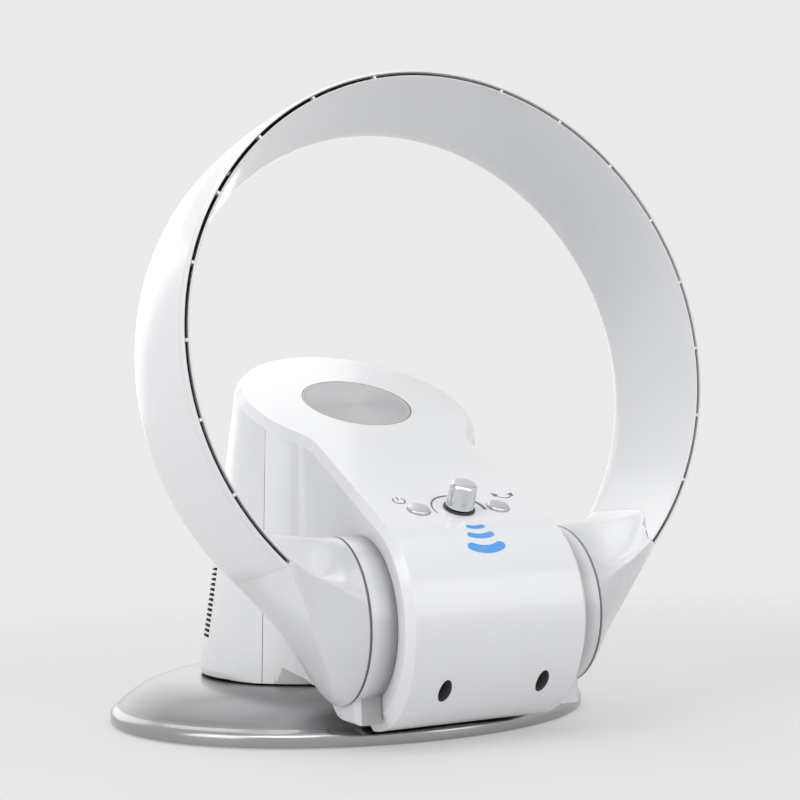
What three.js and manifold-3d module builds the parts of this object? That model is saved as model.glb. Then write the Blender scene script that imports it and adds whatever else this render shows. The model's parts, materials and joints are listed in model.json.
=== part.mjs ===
// A bladeless table fan: an open air ring on two arms that tilts on a drum-fronted column,
// which swings from side to side on a round weighted base.
// Millimetres, +Z up, the front faces -Y, and the origin is on the floor below the swing axis.
import * as THREE from 'three';
import { mergeVertices } from 'three/addons/utils/BufferGeometryUtils.js';
import Module from 'manifold-3d';

const wasm = await Module();
wasm.setup();

// ---------------------------------------------------------------- driving dimensions

const seatGap = 0.3;            // between pieces that rest on, or sit in, each other
const shellWall = 2.6;          // moulded housings
const facetSag = 0.55;          // flats on round faces stay about this close to the circle

// air ring, measured from its slit circle
const slitRadius = 150;
const slitWidth = 1.8;
const slitHalfAngle = 135;      // degrees each side of the top
const slitDashes = 18;
const ringDepth = 74;
const ringBulge = 7;            // how far the outer wall stands outside the slit circle
const ringNarrowing = 11;       // how far the inner wall closes in towards the back
const ringWall = 2.2;
const ringRise = 134.6;         // ring centre above the tilt axis, along the ring's own plane
const ringReach = 40.8;         // slit plane in front of the tilt axis
const ringTilt = 6.4;           // degrees back from upright in the pose shown

// tilt axis, drum and hubs
const tiltAxisY = -140.5;
const tiltAxisZ = 67.3;
const drumRadius = 54.5;
const drumHalfWidth = 52;
const hubRadius = 42.8;
const hubFace = 66.4;           // where the arms meet the collars, from the middle
const trunnionRadius = 28;
const trunnionWall = 4;

// column and deck
const deckSlope = 27.3;         // degrees
const bevelDrop = 4.2;
const bevelRun = 3.7;
const columnFootRadius = 90;
const columnTopRadius = 69;
const columnTopShift = -28;     // the top of the column leans this far forward
const columnTopZ = 222;
const neckFillet = 20;
const seamY = -50.5;            // between the rear and the front housing
const bellyRise = 13;           // how far the neck's underside rises beside the foot
const bellyFront = -75;         // the rise starts here and reaches its height at the seam

// intake grille
const grilleBottom = 45;
const grilleTop = 89;
const grilleSlots = 14;
const grilleSlotHeight = 1.6;
const grilleHalfAngle = 82;     // degrees each side of straight back

// base
const baseRadius = 143;
const baseSkirtTop = 6.5;
const baseHeight = 25.6;
const baseWall = 2;
const baseTopRadius = 94;
const domeFullness = 2.7;       // higher is rounder at the rim
const padThickness = 1.6;
const padRadius = 126;
const plateThickness = 2.4;
const swingGap = 1.4;           // between the base and all that swings over it

// swing drive
const gearModule = 2;
const gearTeeth = 24;
const pinionTeeth = 10;
const gearThickness = 5;
const spindleRadius = 15;

// blower
const blowerY = -8;
const impellerRadius = 41;
const impellerBlades = 9;
const ductWall = 2;
const motorRadius = 24;
const shaftRadius = 3;

// controls on the deck, measured up the slope from the crease above the drum
const knobUp = 13.3;
const knobRadius = 7.5;
const knobHeight = 15;
const buttonUp = 13.4;
const buttonSide = 23.6;
const buttonRadius = 6;
const buttonTravel = 1;
const badgeUp = 154;
const badgeRadius = 33.5;

// screw wells in the drum front
const wellSide = 28.1;
const wellAngle = 127;          // degrees from the top of the drum towards the front

// ---------------------------------------------------------------- solids

const rad = THREE.MathUtils.degToRad;
const white = { color: 0xf1f1f3, roughness: 0.32, metalness: 0 };
const pale = { color: 0xe3e4e7, roughness: 0.4, metalness: 0 };
const silver = { color: 0xa9abae, roughness: 0.35, metalness: 0.85 };
const steel = { color: 0x8d9095, roughness: 0.4, metalness: 0.9 };
const dark = { color: 0x3a3c40, roughness: 0.7, metalness: 0 };
const rubber = { color: 0x2b2b2d, roughness: 0.9, metalness: 0 };
const nylon = { color: 0xd8d6cc, roughness: 0.6, metalness: 0 };
const copper = { color: 0xb06a3c, roughness: 0.45, metalness: 0.7 };
const green = { color: 0x2f6b45, roughness: 0.6, metalness: 0.05 };

function toSolid(geometry) {
  const bare = geometry.clone();
  for (const name of Object.keys(bare.attributes)) {
    if (name !== 'position') bare.deleteAttribute(name);
  }
  const merged = mergeVertices(bare, 1e-4);
  const index = merged.index.array;
  const corners = [];
  for (let i = 0; i < index.length; i += 3) {
    const [a, b, c] = [index[i], index[i + 1], index[i + 2]];
    if (a !== b && b !== c && c !== a) corners.push(a, b, c);
  }
  const vertProperties = new Float32Array(merged.attributes.position.array);
  return new wasm.Manifold(new wasm.Mesh({ numProp: 3, vertProperties, triVerts: new Uint32Array(corners) }));
}

function toGeometry(manifold) {
  const mesh = manifold.getMesh();
  const geometry = new THREE.BufferGeometry();
  geometry.setAttribute('position', new THREE.BufferAttribute(new Float32Array(mesh.vertProperties), 3));
  geometry.setIndex(new THREE.BufferAttribute(new Uint32Array(mesh.triVerts), 1));
  geometry.computeVertexNormals();
  return geometry;
}

function join(first, ...others) {
  return toGeometry(others.reduce((sum, other) => sum.add(toSolid(other)), toSolid(first)));
}

function cut(first, ...others) {
  return toGeometry(others.reduce((rest, other) => rest.subtract(toSolid(other)), toSolid(first)));
}

function common(first, ...others) {
  return toGeometry(others.reduce((rest, other) => rest.intersect(toSolid(other)), toSolid(first)));
}

function signedVolume(positions, index) {
  let volume = 0;
  const corner = [new THREE.Vector3(), new THREE.Vector3(), new THREE.Vector3()];
  for (let i = 0; i < index.length; i += 3) {
    corner.forEach((v, k) => v.fromArray(positions, 3 * index[i + k]));
    volume += corner[0].dot(corner[1].clone().cross(corner[2])) / 6;
  }
  return volume;
}

// A closed skin through sections of equally many points, with flat ends.
function loft(sections) {
  const around = sections[0].length;
  const positions = [];
  const index = [];
  for (const section of sections) {
    for (const point of section) positions.push(...point);
  }
  for (let s = 0; s + 1 < sections.length; s += 1) {
    for (let i = 0; i < around; i += 1) {
      const a = s * around + i;
      const b = s * around + (i + 1) % around;
      index.push(a, b, b + around, a, b + around, a + around);
    }
  }
  for (const [s, flip] of [[0, true], [sections.length - 1, false]]) {
    const middle = positions.length / 3;
    const centre = [0, 1, 2].map((k) => sections[s].reduce((sum, p) => sum + p[k], 0) / around);
    positions.push(...centre);
    for (let i = 0; i < around; i += 1) {
      const a = s * around + i;
      const b = s * around + (i + 1) % around;
      if (flip) index.push(middle, b, a);
      else index.push(middle, a, b);
    }
  }
  if (signedVolume(positions, index) < 0) index.reverse();
  const geometry = new THREE.BufferGeometry();
  geometry.setAttribute('position', new THREE.Float32BufferAttribute(positions, 3));
  geometry.setIndex(index);
  return geometry;
}

// Sides of a round outline, for flats that stay within a fixed distance of the true circle.
function facetsFor(radius) {
  return 4 * Math.max(2, Math.round(Math.PI * Math.sqrt(radius / (2 * facetSag)) / 4));
}

// Turned about Z from [radius, height] points; a profile that misses the axis closes on itself.
function turned(profile, segments = facetsFor(Math.max(...profile.map(([r]) => r)))) {
  const points = profile.map(([r, z]) => new THREE.Vector2(r, z));
  if (profile[0][0] > 0 || profile[profile.length - 1][0] > 0) points.push(points[0].clone());
  const lathe = new THREE.LatheGeometry(points, segments);
  lathe.rotateX(Math.PI / 2);
  const index = [...lathe.index.array];
  if (signedVolume(lathe.attributes.position.array, index) < 0) index.reverse();
  lathe.setIndex(index);
  return lathe;
}

function rod(radius, bottom, top, segments = facetsFor(radius)) {
  return turned([[0, bottom], [radius, bottom], [radius, top], [0, top]], segments);
}

// A cutter whose flats, not its corners, touch the circle, so that a round piece of any facets fits.
function bore(radius, bottom, top, segments = facetsFor(radius)) {
  return rod(radius / Math.cos(Math.PI / segments), bottom, top, segments);
}

function tube(inner, outer, bottom, top, segments = facetsFor(outer)) {
  const clear = inner / Math.cos(Math.PI / segments);
  return turned([[clear, bottom], [outer, bottom], [outer, top], [clear, top]], segments);
}

function box(x0, x1, y0, y1, z0, z1) {
  const geometry = new THREE.BoxGeometry(x1 - x0, y1 - y0, z1 - z0);
  return geometry.translate((x0 + x1) / 2, (y0 + y1) / 2, (z0 + z1) / 2);
}

// A flat outline of [x, y] points, raised along Z.
function prism(points, bottom, top) {
  const shape = new THREE.Shape(points.map(([x, y]) => new THREE.Vector2(x, y)));
  const geometry = new THREE.ExtrudeGeometry(shape, { depth: top - bottom, bevelEnabled: false });
  return geometry.translate(0, 0, bottom);
}

// A side outline of [y, z] points, carried across from x0 to x1.
function sidePrism(points, x0, x1) {
  const geometry = prism(points, x0, x1);
  return geometry.applyMatrix4(new THREE.Matrix4().set(0, 0, 1, 0, 1, 0, 0, 0, 0, 1, 0, 0, 0, 0, 0, 1));
}

function alongX(geometry) {
  return geometry.rotateY(Math.PI / 2);
}

function mirrored(geometry) {
  const copy = geometry.clone().scale(-1, 1, 1);
  const index = [...copy.index.array];
  index.reverse();
  copy.setIndex(index);
  return copy;
}

function arc(centreX, centreY, radius, from, to, steps) {
  return Array.from({ length: steps + 1 }, (_, i) => {
    const angle = rad(from + (to - from) * i / steps);
    return [centreX + radius * Math.cos(angle), centreY + radius * Math.sin(angle)];
  });
}

function lerp(a, b, t) {
  return a + (b - a) * t;
}

// ---------------------------------------------------------------- groups

const fan = new THREE.Group();
const head = new THREE.Group();
const deck = new THREE.Group();
const ring = new THREE.Group();
fan.add(head, ring);
head.add(deck);

const creaseY = tiltAxisY - drumRadius * Math.sin(rad(deckSlope));
const creaseZ = tiltAxisZ + drumRadius * Math.cos(rad(deckSlope));
deck.position.set(0, creaseY, creaseZ);
deck.rotation.x = rad(deckSlope);
ring.position.set(0, tiltAxisY, tiltAxisZ);
ring.rotation.x = -rad(ringTilt);

function place(group, name, geometry, look) {
  const mesh = new THREE.Mesh(geometry, new THREE.MeshStandardMaterial(look));
  mesh.name = name;
  group.add(mesh);
  return mesh;
}

// ---------------------------------------------------------------- base

const footZ = baseHeight + swingGap;
const plateBottom = padThickness + seatGap;
const plateTop = plateBottom + plateThickness;
const bossRadius = 5;
const bossCircle = 110;
const screwHead = 3;
const screwShank = 1.5;

// The dome's outside, from the rim to the flat top, as [radius, height].
function domeProfile(raise = 0, spread = 0, steps = 3) {
  const shoulder = 4;
  const points = [];
  for (let i = 0; i <= steps; i += 1) {
    const t = i / steps;
    const r = lerp(baseRadius - shoulder, baseTopRadius, t);
    points.push([r + spread, lerp(baseSkirtTop + 3.5, baseHeight, 1 - (1 - t) ** domeFullness) + raise]);
  }
  const rim = [[baseRadius, baseSkirtTop], [baseRadius - 1, baseSkirtTop + 1.9]];
  return [...rim.map(([r, z]) => [r + spread, z + raise]), ...points];
}

function bossAt(k, radius, bottom, top) {
  const turn = rad(120 * k + 30);
  const [x, y] = [bossCircle * Math.cos(turn), bossCircle * Math.sin(turn)];
  return rod(radius, bottom, top).translate(x, y, 0);
}

function makeBase() {
  const skirtBottom = 1;
  const bore = spindleRadius + seatGap;
  const sleeve = bore + 4;
  const sleeveBottom = 17;
  const outside = domeProfile();
  const inside = domeProfile(-baseWall, -baseWall, 1).reverse();
  const shell = turned([
    [baseRadius - 0.6, skirtBottom], ...outside, [bore, baseHeight], [bore, sleeveBottom],
    [sleeve, sleeveBottom], [sleeve, baseHeight - baseWall], ...inside, [baseRadius - baseWall, skirtBottom],
  ]);
  const full = turned([[0, 0], [baseRadius, 0], ...domeProfile(-0.5), [0, baseHeight - 0.5]]);
  const bosses = [0, 1, 2].map((k) => common(bossAt(k, bossRadius, plateTop + seatGap, baseHeight), full));
  const pilots = [0, 1, 2].map((k) => bossAt(k, screwShank + seatGap, 0, 13));
  place(fan, 'base_cover', cut(join(shell, ...bosses), ...pilots), silver);

  const plate = rod(baseRadius - baseWall - seatGap, plateBottom, plateTop);
  const sinks = [0, 1, 2].map((k) => bossAt(k, screwHead + seatGap, 0, plateBottom + 1.5));
  place(fan, 'base_plate', cut(plate, ...sinks, ...pilots), dark);

  const padHoles = [0, 1, 2].map((k) => bossAt(k, screwHead + 1, -1, padThickness + 1));
  place(fan, 'anti_slip_pad', cut(rod(padRadius, 0, padThickness), ...padHoles), rubber);

  for (let k = 0; k < 3; k += 1) {
    const headTop = plateBottom + 1.5 - seatGap;
    const shank = bossAt(k, screwShank, headTop - 0.5, 12);
    place(fan, `base_screw_${k + 1}`, join(bossAt(k, screwHead, headTop - 1.2, headTop), shank), steel);
  }
  const ballastBottom = plateTop + seatGap;
  place(fan, 'base_ballast', tube(52, 98, ballastBottom, ballastBottom + 9), steel);
  place(fan, 'slide_ring', tube(62, 70, baseHeight + seatGap, footZ - seatGap), nylon);
}

// ---------------------------------------------------------------- swing drive

const gearTop = 16.5;
const gearBottom = gearTop - gearThickness;
const pinionDistance = gearModule * (gearTeeth + pinionTeeth) / 2 + 0.15;

// A spur outline with straight-flanked teeth, thinned for backlash; tooth 0 points along +X.
function gearOutline(teeth, turn) {
  const pitch = gearModule * teeth / 2;
  const points = [];
  for (let i = 0; i < teeth; i += 1) {
    for (const [offset, radius] of [
      [-0.33, pitch - 1.2 * gearModule], [-0.11, pitch + 0.9 * gearModule],
      [0.11, pitch + 0.9 * gearModule], [0.33, pitch - 1.2 * gearModule],
    ]) {
      const angle = 2 * Math.PI * (i + offset + turn) / teeth;
      points.push([radius * Math.cos(angle), radius * Math.sin(angle)]);
    }
  }
  return points;
}

function makeSwingDrive() {
  const gear = prism(gearOutline(gearTeeth, 0), gearBottom, gearTop);
  const keyed = bore(spindleRadius - 4 + seatGap, gearBottom - 1, gearTop + 1);
  place(head, 'swivel_gear', cut(gear, keyed), nylon);

  // Pinion and motor stand on the base, straight in front of the spindle's right side.
  const pinion = prism(gearOutline(pinionTeeth, 0.5), gearBottom, gearTop);
  const pin = rod(1.6, gearBottom - 2.5, gearBottom + 0.5);
  place(fan, 'swivel_pinion', join(pinion, pin), nylon).position.x = pinionDistance;
  const motorTop = gearBottom - 1;
  const body = rod(13, plateTop + seatGap, motorTop);
  const well = bore(1.6 + seatGap, motorTop - 3, motorTop + 1);
  place(fan, 'swivel_motor', cut(body, well), steel).position.x = pinionDistance;
}

// ---------------------------------------------------------------- column shape

function columnAt(z) {
  const t = (z - footZ) / (columnTopZ - footZ);
  return { radius: lerp(columnFootRadius, columnTopRadius, t), y: lerp(0, columnTopShift, t) };
}

const keyholeFront = tiltAxisY - drumRadius - 20;

// The column in plan: round at the back, drawn in by a fillet to a parallel-sided front.
function keyhole(z, inset) {
  const column = columnAt(z);
  const radius = column.radius - inset;
  const side = drumHalfWidth - inset;
  const fillet = neckFillet + inset;
  const filletY = column.y - Math.sqrt((radius + fillet) ** 2 - (side + fillet) ** 2);
  const meet = THREE.MathUtils.radToDeg(Math.atan2(filletY - column.y, side + fillet));
  const right = [
    [side, keyholeFront],
    ...arc(side + fillet, filletY, fillet, 180, 180 + meet, 3),
    ...arc(0, column.y, radius, meet, 0, 3).slice(1),
    ...arc(0, column.y, radius, 0, 90, 6).slice(1),
  ];
  return [...right, ...right.slice(0, -1).reverse().map(([x, y]) => [-x, y])];
}

function columnSolid(inset, bottom, top) {
  return loft([bottom, top].map((z) => keyhole(z, inset).map(([x, y]) => [x, y, z])));
}

function deckHeight(y, depth) {
  return creaseZ + (y - creaseY) * Math.tan(rad(deckSlope)) - depth / Math.cos(rad(deckSlope));
}

// Where the column's wall meets a plane parallel to the deck, in deck coordinates.
function deckOutline(depth, inset) {
  const low = keyhole(footZ, inset);
  const high = keyhole(columnTopZ, inset);
  const slope = Math.tan(rad(deckSlope));
  return low.map(([x0, y0], i) => {
    const [x1, y1] = high[i];
    const rise = columnTopZ - footZ - (y1 - y0) * slope;
    const t = (deckHeight(y0, depth) - footZ) / rise;
    const y = lerp(y0, y1, t) - creaseY;
    const z = lerp(footZ, columnTopZ, t) - creaseZ;
    const up = y * Math.cos(rad(deckSlope)) + z * Math.sin(rad(deckSlope));
    return [lerp(x0, x1, t), up, -depth];
  });
}

// What the drum and the deck leave of the column, seen from the side.
function sideOutline(depth) {
  const radius = drumRadius - depth;
  const back = columnFootRadius + 30;
  const drum = arc(tiltAxisY, tiltAxisZ, radius, 90 + deckSlope, 270, 14);
  return [[back, 0], [back, deckHeight(back, depth)], ...drum, [tiltAxisY, 0]];
}

// Everything that the head has to clear as it swings over the base.
function sweptBase(raise, innerRadius) {
  const dome = domeProfile(swingGap + raise, 0);
  const edge = baseRadius + 40;
  return turned([
    [innerRadius, -20], [edge, -20], [edge, baseSkirtTop + raise], ...dome,
    [innerRadius, footZ + raise],
  ]);
}

// ---------------------------------------------------------------- housings

const coverDepth = bevelDrop + 0.6;
const washerRadius = trunnionRadius + 6;

// What is left out under the neck, beside the round foot, grown by a wall for the inside.
function belly(wall) {
  const back = seamY + 5;
  const rise = bellyRise / (seamY - bellyFront);
  const top = footZ + wall * Math.hypot(1, rise);
  const wedge = sidePrism([
    [bellyFront, -10], [back, -10], [back, top + (back - bellyFront) * rise], [bellyFront, top],
  ], -columnFootRadius - 10, columnFootRadius + 10);
  const round = loft([-20, 80].map((z) => {
    const column = columnAt(z);
    return [...arc(0, column.y, column.radius - wall, 0, 360, 28).slice(1)].map(([x, y]) => [x, y, z]);
  }));
  return cut(wedge, round);
}

function makeHousings() {
  const outside = cut(
    common(columnSolid(0, -1, 250), sidePrism(sideOutline(coverDepth + seatGap), -120, 120)),
    sweptBase(0, 0), belly(0),
  );
  const inside = cut(
    columnSolid(shellWall, -2, 251),
    sweptBase(shellWall, columnFootRadius - shellWall + 1), belly(shellWall),
  );
  const shell = cut(outside, inside);
  const openings = alongX(bore(trunnionRadius + 2, -100, 100));
  const reliefSide = drumHalfWidth - shellWall - 0.1;
  const relief = alongX(bore(washerRadius + 2 * seatGap, -reliefSide, reliefSide));
  const bores = [openings, relief].map((cutter) => cutter.translate(0, tiltAxisY, tiltAxisZ));

  const rearHalf = common(shell, box(-200, 200, seamY + seatGap / 2, 200, -10, 300));
  place(head, 'rear_housing', cut(rearHalf, ...grilleCuts(), inletHole()), white);

  const frontHalf = common(shell, box(-200, 200, -300, seamY - seatGap / 2, -10, 300));
  const barred = join(cut(frontHalf, ...bores), screwBar());
  place(head, 'front_housing', cut(barred, ...screwShafts(0.3)), pale);
}

function grilleCuts() {
  const pitch = (grilleTop - grilleBottom) / grilleSlots;
  return Array.from({ length: grilleSlots }, (_, k) => {
    const z = grilleBottom + (k + 0.5) * pitch;
    const column = columnAt(z);
    const inner = column.radius - shellWall - 4;
    const outer = column.radius + 8;
    const sweep = [
      ...arc(0, column.y, outer, 90 - grilleHalfAngle, 90 + grilleHalfAngle, 6),
      ...arc(0, column.y, inner, 90 + grilleHalfAngle, 90 - grilleHalfAngle, 6),
    ];
    return prism(sweep, z - grilleSlotHeight / 2, z + grilleSlotHeight / 2);
  });
}

const inletZ = 37.5;
const inletRadius = 5.5;

function inletHole() {
  return bore(inletRadius + 2 * seatGap, -20, 20).rotateX(Math.PI / 2).translate(0, columnFootRadius, inletZ);
}

function makeInlet() {
  const wall = columnAt(inletZ + inletRadius + 4);
  const face = wall.radius + wall.y - shellWall - seatGap - 1.4;
  const socket = turned([
    [0, face - 12], [7.5, face - 12], [7.5, face], [inletRadius, face], [inletRadius, face + shellWall],
    [3, face + shellWall], [3, face - 8], [1, face - 8], [1, face + 1], [0, face + 1],
  ]);
  place(head, 'power_inlet', socket.rotateX(-Math.PI / 2).translate(0, 0, inletZ), dark);
}

// ---------------------------------------------------------------- covers

const plateDepth = 2.4;

function makeTopCover() {
  const outside = loft([deckOutline(coverDepth, 0), deckOutline(bevelDrop, 0), deckOutline(0, bevelRun)]);
  const inside = loft([deckOutline(coverDepth + 1, shellWall), deckOutline(plateDepth, shellWall + 1)]);
  const beyond = box(-200, 200, -200, seatGap / 2, -100, 100);
  const posts = [-1, 1].map((side) => (
    rod(3, boardTop + seatGap, -plateDepth + 0.5).translate(postSide * side, postUp, 0)));
  const buttonHoles = [-1, 1].map((side) => (
    bore(buttonRadius + seatGap, -10, 10).translate(buttonSide * side, buttonUp, 0)));
  const knobHole = bore(knobRadius + seatGap, -10, 10).translate(0, knobUp, 0);
  const recess = bore(badgeRadius + seatGap, -1.3, 10).translate(0, badgeUp, 0);
  const plate = join(cut(outside, inside, beyond), ...posts);
  place(deck, 'top_cover', cut(plate, ...buttonHoles, knobHole, recess), white);
  place(deck, 'badge_disc', turned([
    [0, -1], [badgeRadius, -1], [badgeRadius, -0.3], [badgeRadius - 0.5, -0.1], [0, -0.1],
  ]), silver).position.y = badgeUp;
}

// A solid sector of the drum between two angles from its top towards the front.
function drumSector(from, to, halfWidth) {
  const reach = 2 * drumRadius;
  const rim = arc(tiltAxisY, tiltAxisZ, reach, 90 + from, 90 + to, 6);
  return sidePrism([[tiltAxisY, tiltAxisZ], ...rim], -halfWidth, halfWidth);
}

function atDrumAngle(geometry, angle, side) {
  return geometry.rotateX(rad(angle)).translate(side, tiltAxisY, tiltAxisZ);
}

function makeFrontCover() {
  const rim = drumHalfWidth;
  const segments = facetsFor(drumRadius);
  const skirt = (drumRadius - coverDepth + 0.1) / Math.cos(Math.PI / segments);
  const band = turned([
    [skirt, -rim], [drumRadius - bevelDrop, -rim], [drumRadius, -rim + bevelRun],
    [drumRadius, rim - bevelRun], [drumRadius - bevelDrop, rim], [skirt, rim],
    [skirt, rim - shellWall], [drumRadius - plateDepth, rim - shellWall - 1],
    [drumRadius - plateDepth, -rim + shellWall + 1], [skirt, -rim + shellWall],
  ], segments);
  const whole = alongX(band).translate(0, tiltAxisY, tiltAxisZ);
  const front = common(whole, drumSector(deckSlope + 0.3, 178, 100));
  const sleeves = [-1, 1].map((side) => atDrumAngle(
    rod(5, barTop + 3, drumRadius - 1).scale(1, 1.3, 1), wellAngle, side * wellSide));
  const bores = [-1, 1].map((side) => atDrumAngle(
    rod(3.5, barTop - 1, drumRadius + 5).scale(1, 1.45, 1), wellAngle, side * wellSide));
  const cover = cut(join(front, ...sleeves), ...bores, sweptBase(0, 0));
  place(head, 'front_cover', cover, white);
}

// ---------------------------------------------------------------- screws behind the drum front

// The bar that holds them lies between the friction washers and the inside of the drum.
const barTop = Math.min(washerRadius + 7, drumRadius - coverDepth - 1);

function screwBar() {
  const bar = box(-drumHalfWidth + 1, drumHalfWidth - 1, -6, 6, barTop - 5, barTop);
  return atDrumAngle(bar, wellAngle, 0);
}

function screwShafts(clearance) {
  return [-1, 1].map((side) => atDrumAngle(
    rod(screwShank + clearance, barTop - 8 - clearance, barTop + 5), wellAngle, side * wellSide));
}

function makeFrontScrews() {
  for (const [name, side] of [['left', -1], ['right', 1]]) {
    const screw = join(
      rod(screwHead, barTop + seatGap, barTop + 2.4),
      rod(screwShank, barTop - 8, barTop + 1),
    );
    place(head, `front_screw_${name}`, atDrumAngle(screw, wellAngle, side * wellSide), steel);
  }
}

// ---------------------------------------------------------------- collars and trunnions

const washer = 1.4;
const clip = 2.2;

function makeCollars() {
  const wallFace = drumHalfWidth + seatGap;
  const clear = trunnionRadius + seatGap;
  for (const [name, side] of [['left', -1], ['right', 1]]) {
    const collar = turned([
      [clear, wallFace], [hubRadius + 4.2, wallFace], [hubRadius + 1.2, wallFace + 1.6],
      [hubRadius, wallFace + 6], [hubRadius, hubFace], [clear, hubFace],
    ]);
    const toe = toeBlock(wallFace + 0.5, hubFace - 1);
    const whole = join(alongX(collar).translate(0, tiltAxisY, tiltAxisZ), toe);
    const through = alongX(bore(clear, 0, 100)).translate(0, tiltAxisY, tiltAxisZ);
    const shaped = cut(whole, sweptBase(0, 0), through);
    place(head, `${name}_collar`, side > 0 ? shaped : mirrored(shaped), white);
  }
}

// The toe below each collar: flat in front, rounded behind and at its outer bottom edge.
function toeBlock(x0, x1) {
  const low = tiltAxisZ - hubRadius - 8;
  const high = tiltAxisZ - trunnionRadius - 6;
  const front = tiltAxisY - 21.5;
  const back = tiltAxisY + 27;
  const heel = 20;
  const side = [
    [front, high], [front, low], ...arc(back - heel, low + heel, heel, 270, 330, 4), [tiltAxisY + 8, high],
  ];
  const corner = 6;
  const turn = arc(x1 - corner, low + corner, corner, 270, 360, 3);
  const across = [[x0, low], ...turn, [x1, high + 1], [x0, high + 1]];
  const face = prism(across, -back - 5, -front + 5).rotateX(Math.PI / 2);
  return common(sidePrism(side, x0, x1), face);
}

function flipped(geometry, side) {
  return side > 0 ? geometry : mirrored(geometry);
}

function makeTrunnions() {
  const inner = trunnionRadius - trunnionWall;
  const sideWall = drumHalfWidth - shellWall;
  const washerFace = sideWall - seatGap;
  for (const [name, side] of [['left', -1], ['right', 1]]) {
    const lip = tube(inner, trunnionRadius, sideWall - 9, hubFace);
    place(ring, `${name}_trunnion`, flipped(alongX(lip), side), nylon);
    const clipFace = washerFace - washer - seatGap;
    const snug = trunnionRadius + 2 * seatGap;
    const clipRing = tube(snug, trunnionRadius + 4.5, clipFace - clip, clipFace);
    place(ring, `${name}_retainer`, flipped(alongX(clipRing), side), steel);
    const washerRing = tube(snug, washerRadius, washerFace - washer, washerFace);
    const seated = flipped(alongX(washerRing), side).translate(0, tiltAxisY, tiltAxisZ);
    place(head, `${name}_friction_washer`, seated, rubber);
  }
}

// ---------------------------------------------------------------- air ring

// The ring's walls in section: how far out of the slit circle they stand at a depth behind it.
const noseRadius = (ringBulge + ringNarrowing) / 2;
const noseOut = (ringBulge - ringNarrowing) / 2;
const noseStart = ringDepth - noseRadius;
const lipEdge = slitWidth / 2;

function noseSpan(depth, inset) {
  const radius = noseRadius - inset;
  return Math.sqrt(Math.max(0, radius ** 2 - (depth - noseStart) ** 2));
}

function outerAt(depth, inset = 0) {
  if (depth > noseStart) return noseOut + noseSpan(depth, inset);
  const rise = Math.sin(Math.PI / 2 * Math.min(1, depth / (0.8 * ringDepth)));
  return lerp(lipEdge + 1.1, ringBulge, rise) - inset;
}

function innerAt(depth, inset = 0) {
  if (depth > noseStart) return noseOut - noseSpan(depth, inset);
  const rise = Math.min(1, depth / (0.82 * ringDepth)) ** 0.92;
  return -lerp(lipEdge + 0.9, ringNarrowing, rise) + inset;
}

// Points down one wall, from just behind the slit to the middle of the rounded back edge.
function wallLine(wallAt, inset) {
  const back = ringDepth - inset;
  const sides = inset > 0 ? [0.02, 0.82] : [0.02, 0.42, 0.82];
  const turns = inset > 0 ? [0, 45] : [0, 35, 65];
  const nose = turns.map((angle) => noseStart + (back - noseStart) * Math.sin(rad(angle)));
  const depths = [...sides.map((t) => t * ringDepth), ...nose];
  return [...depths.map((depth) => [wallAt(depth, inset), depth]), [noseOut, back]];
}

function ringSection(wallAt, lip, sign) {
  const outside = wallLine(wallAt, 0);
  const inside = wallLine(wallAt, ringWall).slice(1).reverse();
  const gap = sign * seatGap / 2;
  const shift = ([out, depth]) => [depth >= ringDepth - ringWall - 0.01 && Math.abs(out - noseOut) < 0.01
    ? out + gap : out, depth];
  return [[lip, 0], ...[...outside, ...inside].map(shift), [lip, 4]];
}

function ringWedge(halfAngle, reach = 260) {
  const centre = ringRise;
  const points = arc(0, centre, reach, 90 - halfAngle, 90 + halfAngle, 16);
  return prism([[0, centre], ...points], -120, 120).rotateX(Math.PI / 2);
}

// Turned about the ring's own axis, with depth running back from the slit plane.
function ringTurn(section) {
  const band = turned(section.map(([out, depth]) => [slitRadius + out, -depth]), facetsFor(slitRadius));
  return band.rotateX(Math.PI / 2).translate(0, -ringReach, ringRise);
}

const ringEnd = slitHalfAngle + 1.5;

function makeRing() {
  const outer = ringTurn(ringSection(outerAt, lipEdge, 1));
  const inner = ringTurn(ringSection(innerAt, -lipEdge, -1));
  place(ring, 'ring_outer_shell', common(outer, ringWedge(ringEnd)), white);
  place(ring, 'ring_inner_shell', join(common(inner, ringWedge(ringEnd)), ...slitBridges()), white);
}

// Ribs that divide the slit into dashes; the one at the top is left out.
function slitBridges() {
  const pitch = 2 * slitHalfAngle / slitDashes;
  const steps = Array.from({ length: slitDashes - 1 }, (_, k) => (k + 1 - slitDashes / 2) * pitch);
  return steps.filter((angle) => Math.abs(angle) > 1).map((angle) => {
    const rib = box(-0.8, 0.8, 0.4, 9, slitRadius - lipReach, slitRadius + slitWidth / 2 - 2 * seatGap);
    return rib.rotateY(rad(angle)).translate(0, -ringReach, ringRise);
  });
}

const lipReach = slitWidth / 2 + 1.2;

// ---------------------------------------------------------------- arms

const shoulderAngle = 126.6;    // each arm's top meets the ring's inner wall here
const crestAngle = 166;         // hub angles of the two edges that run on from the slit's lips
const ridgeAngle = 262;
const dishDepth = 6;            // hollow of the front face between those edges
const scoopDepth = 9;           // hollow above the crest

function eased(t) {
  const held = Math.min(1, Math.max(0, t));
  return held * held * (3 - 2 * held);
}

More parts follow.
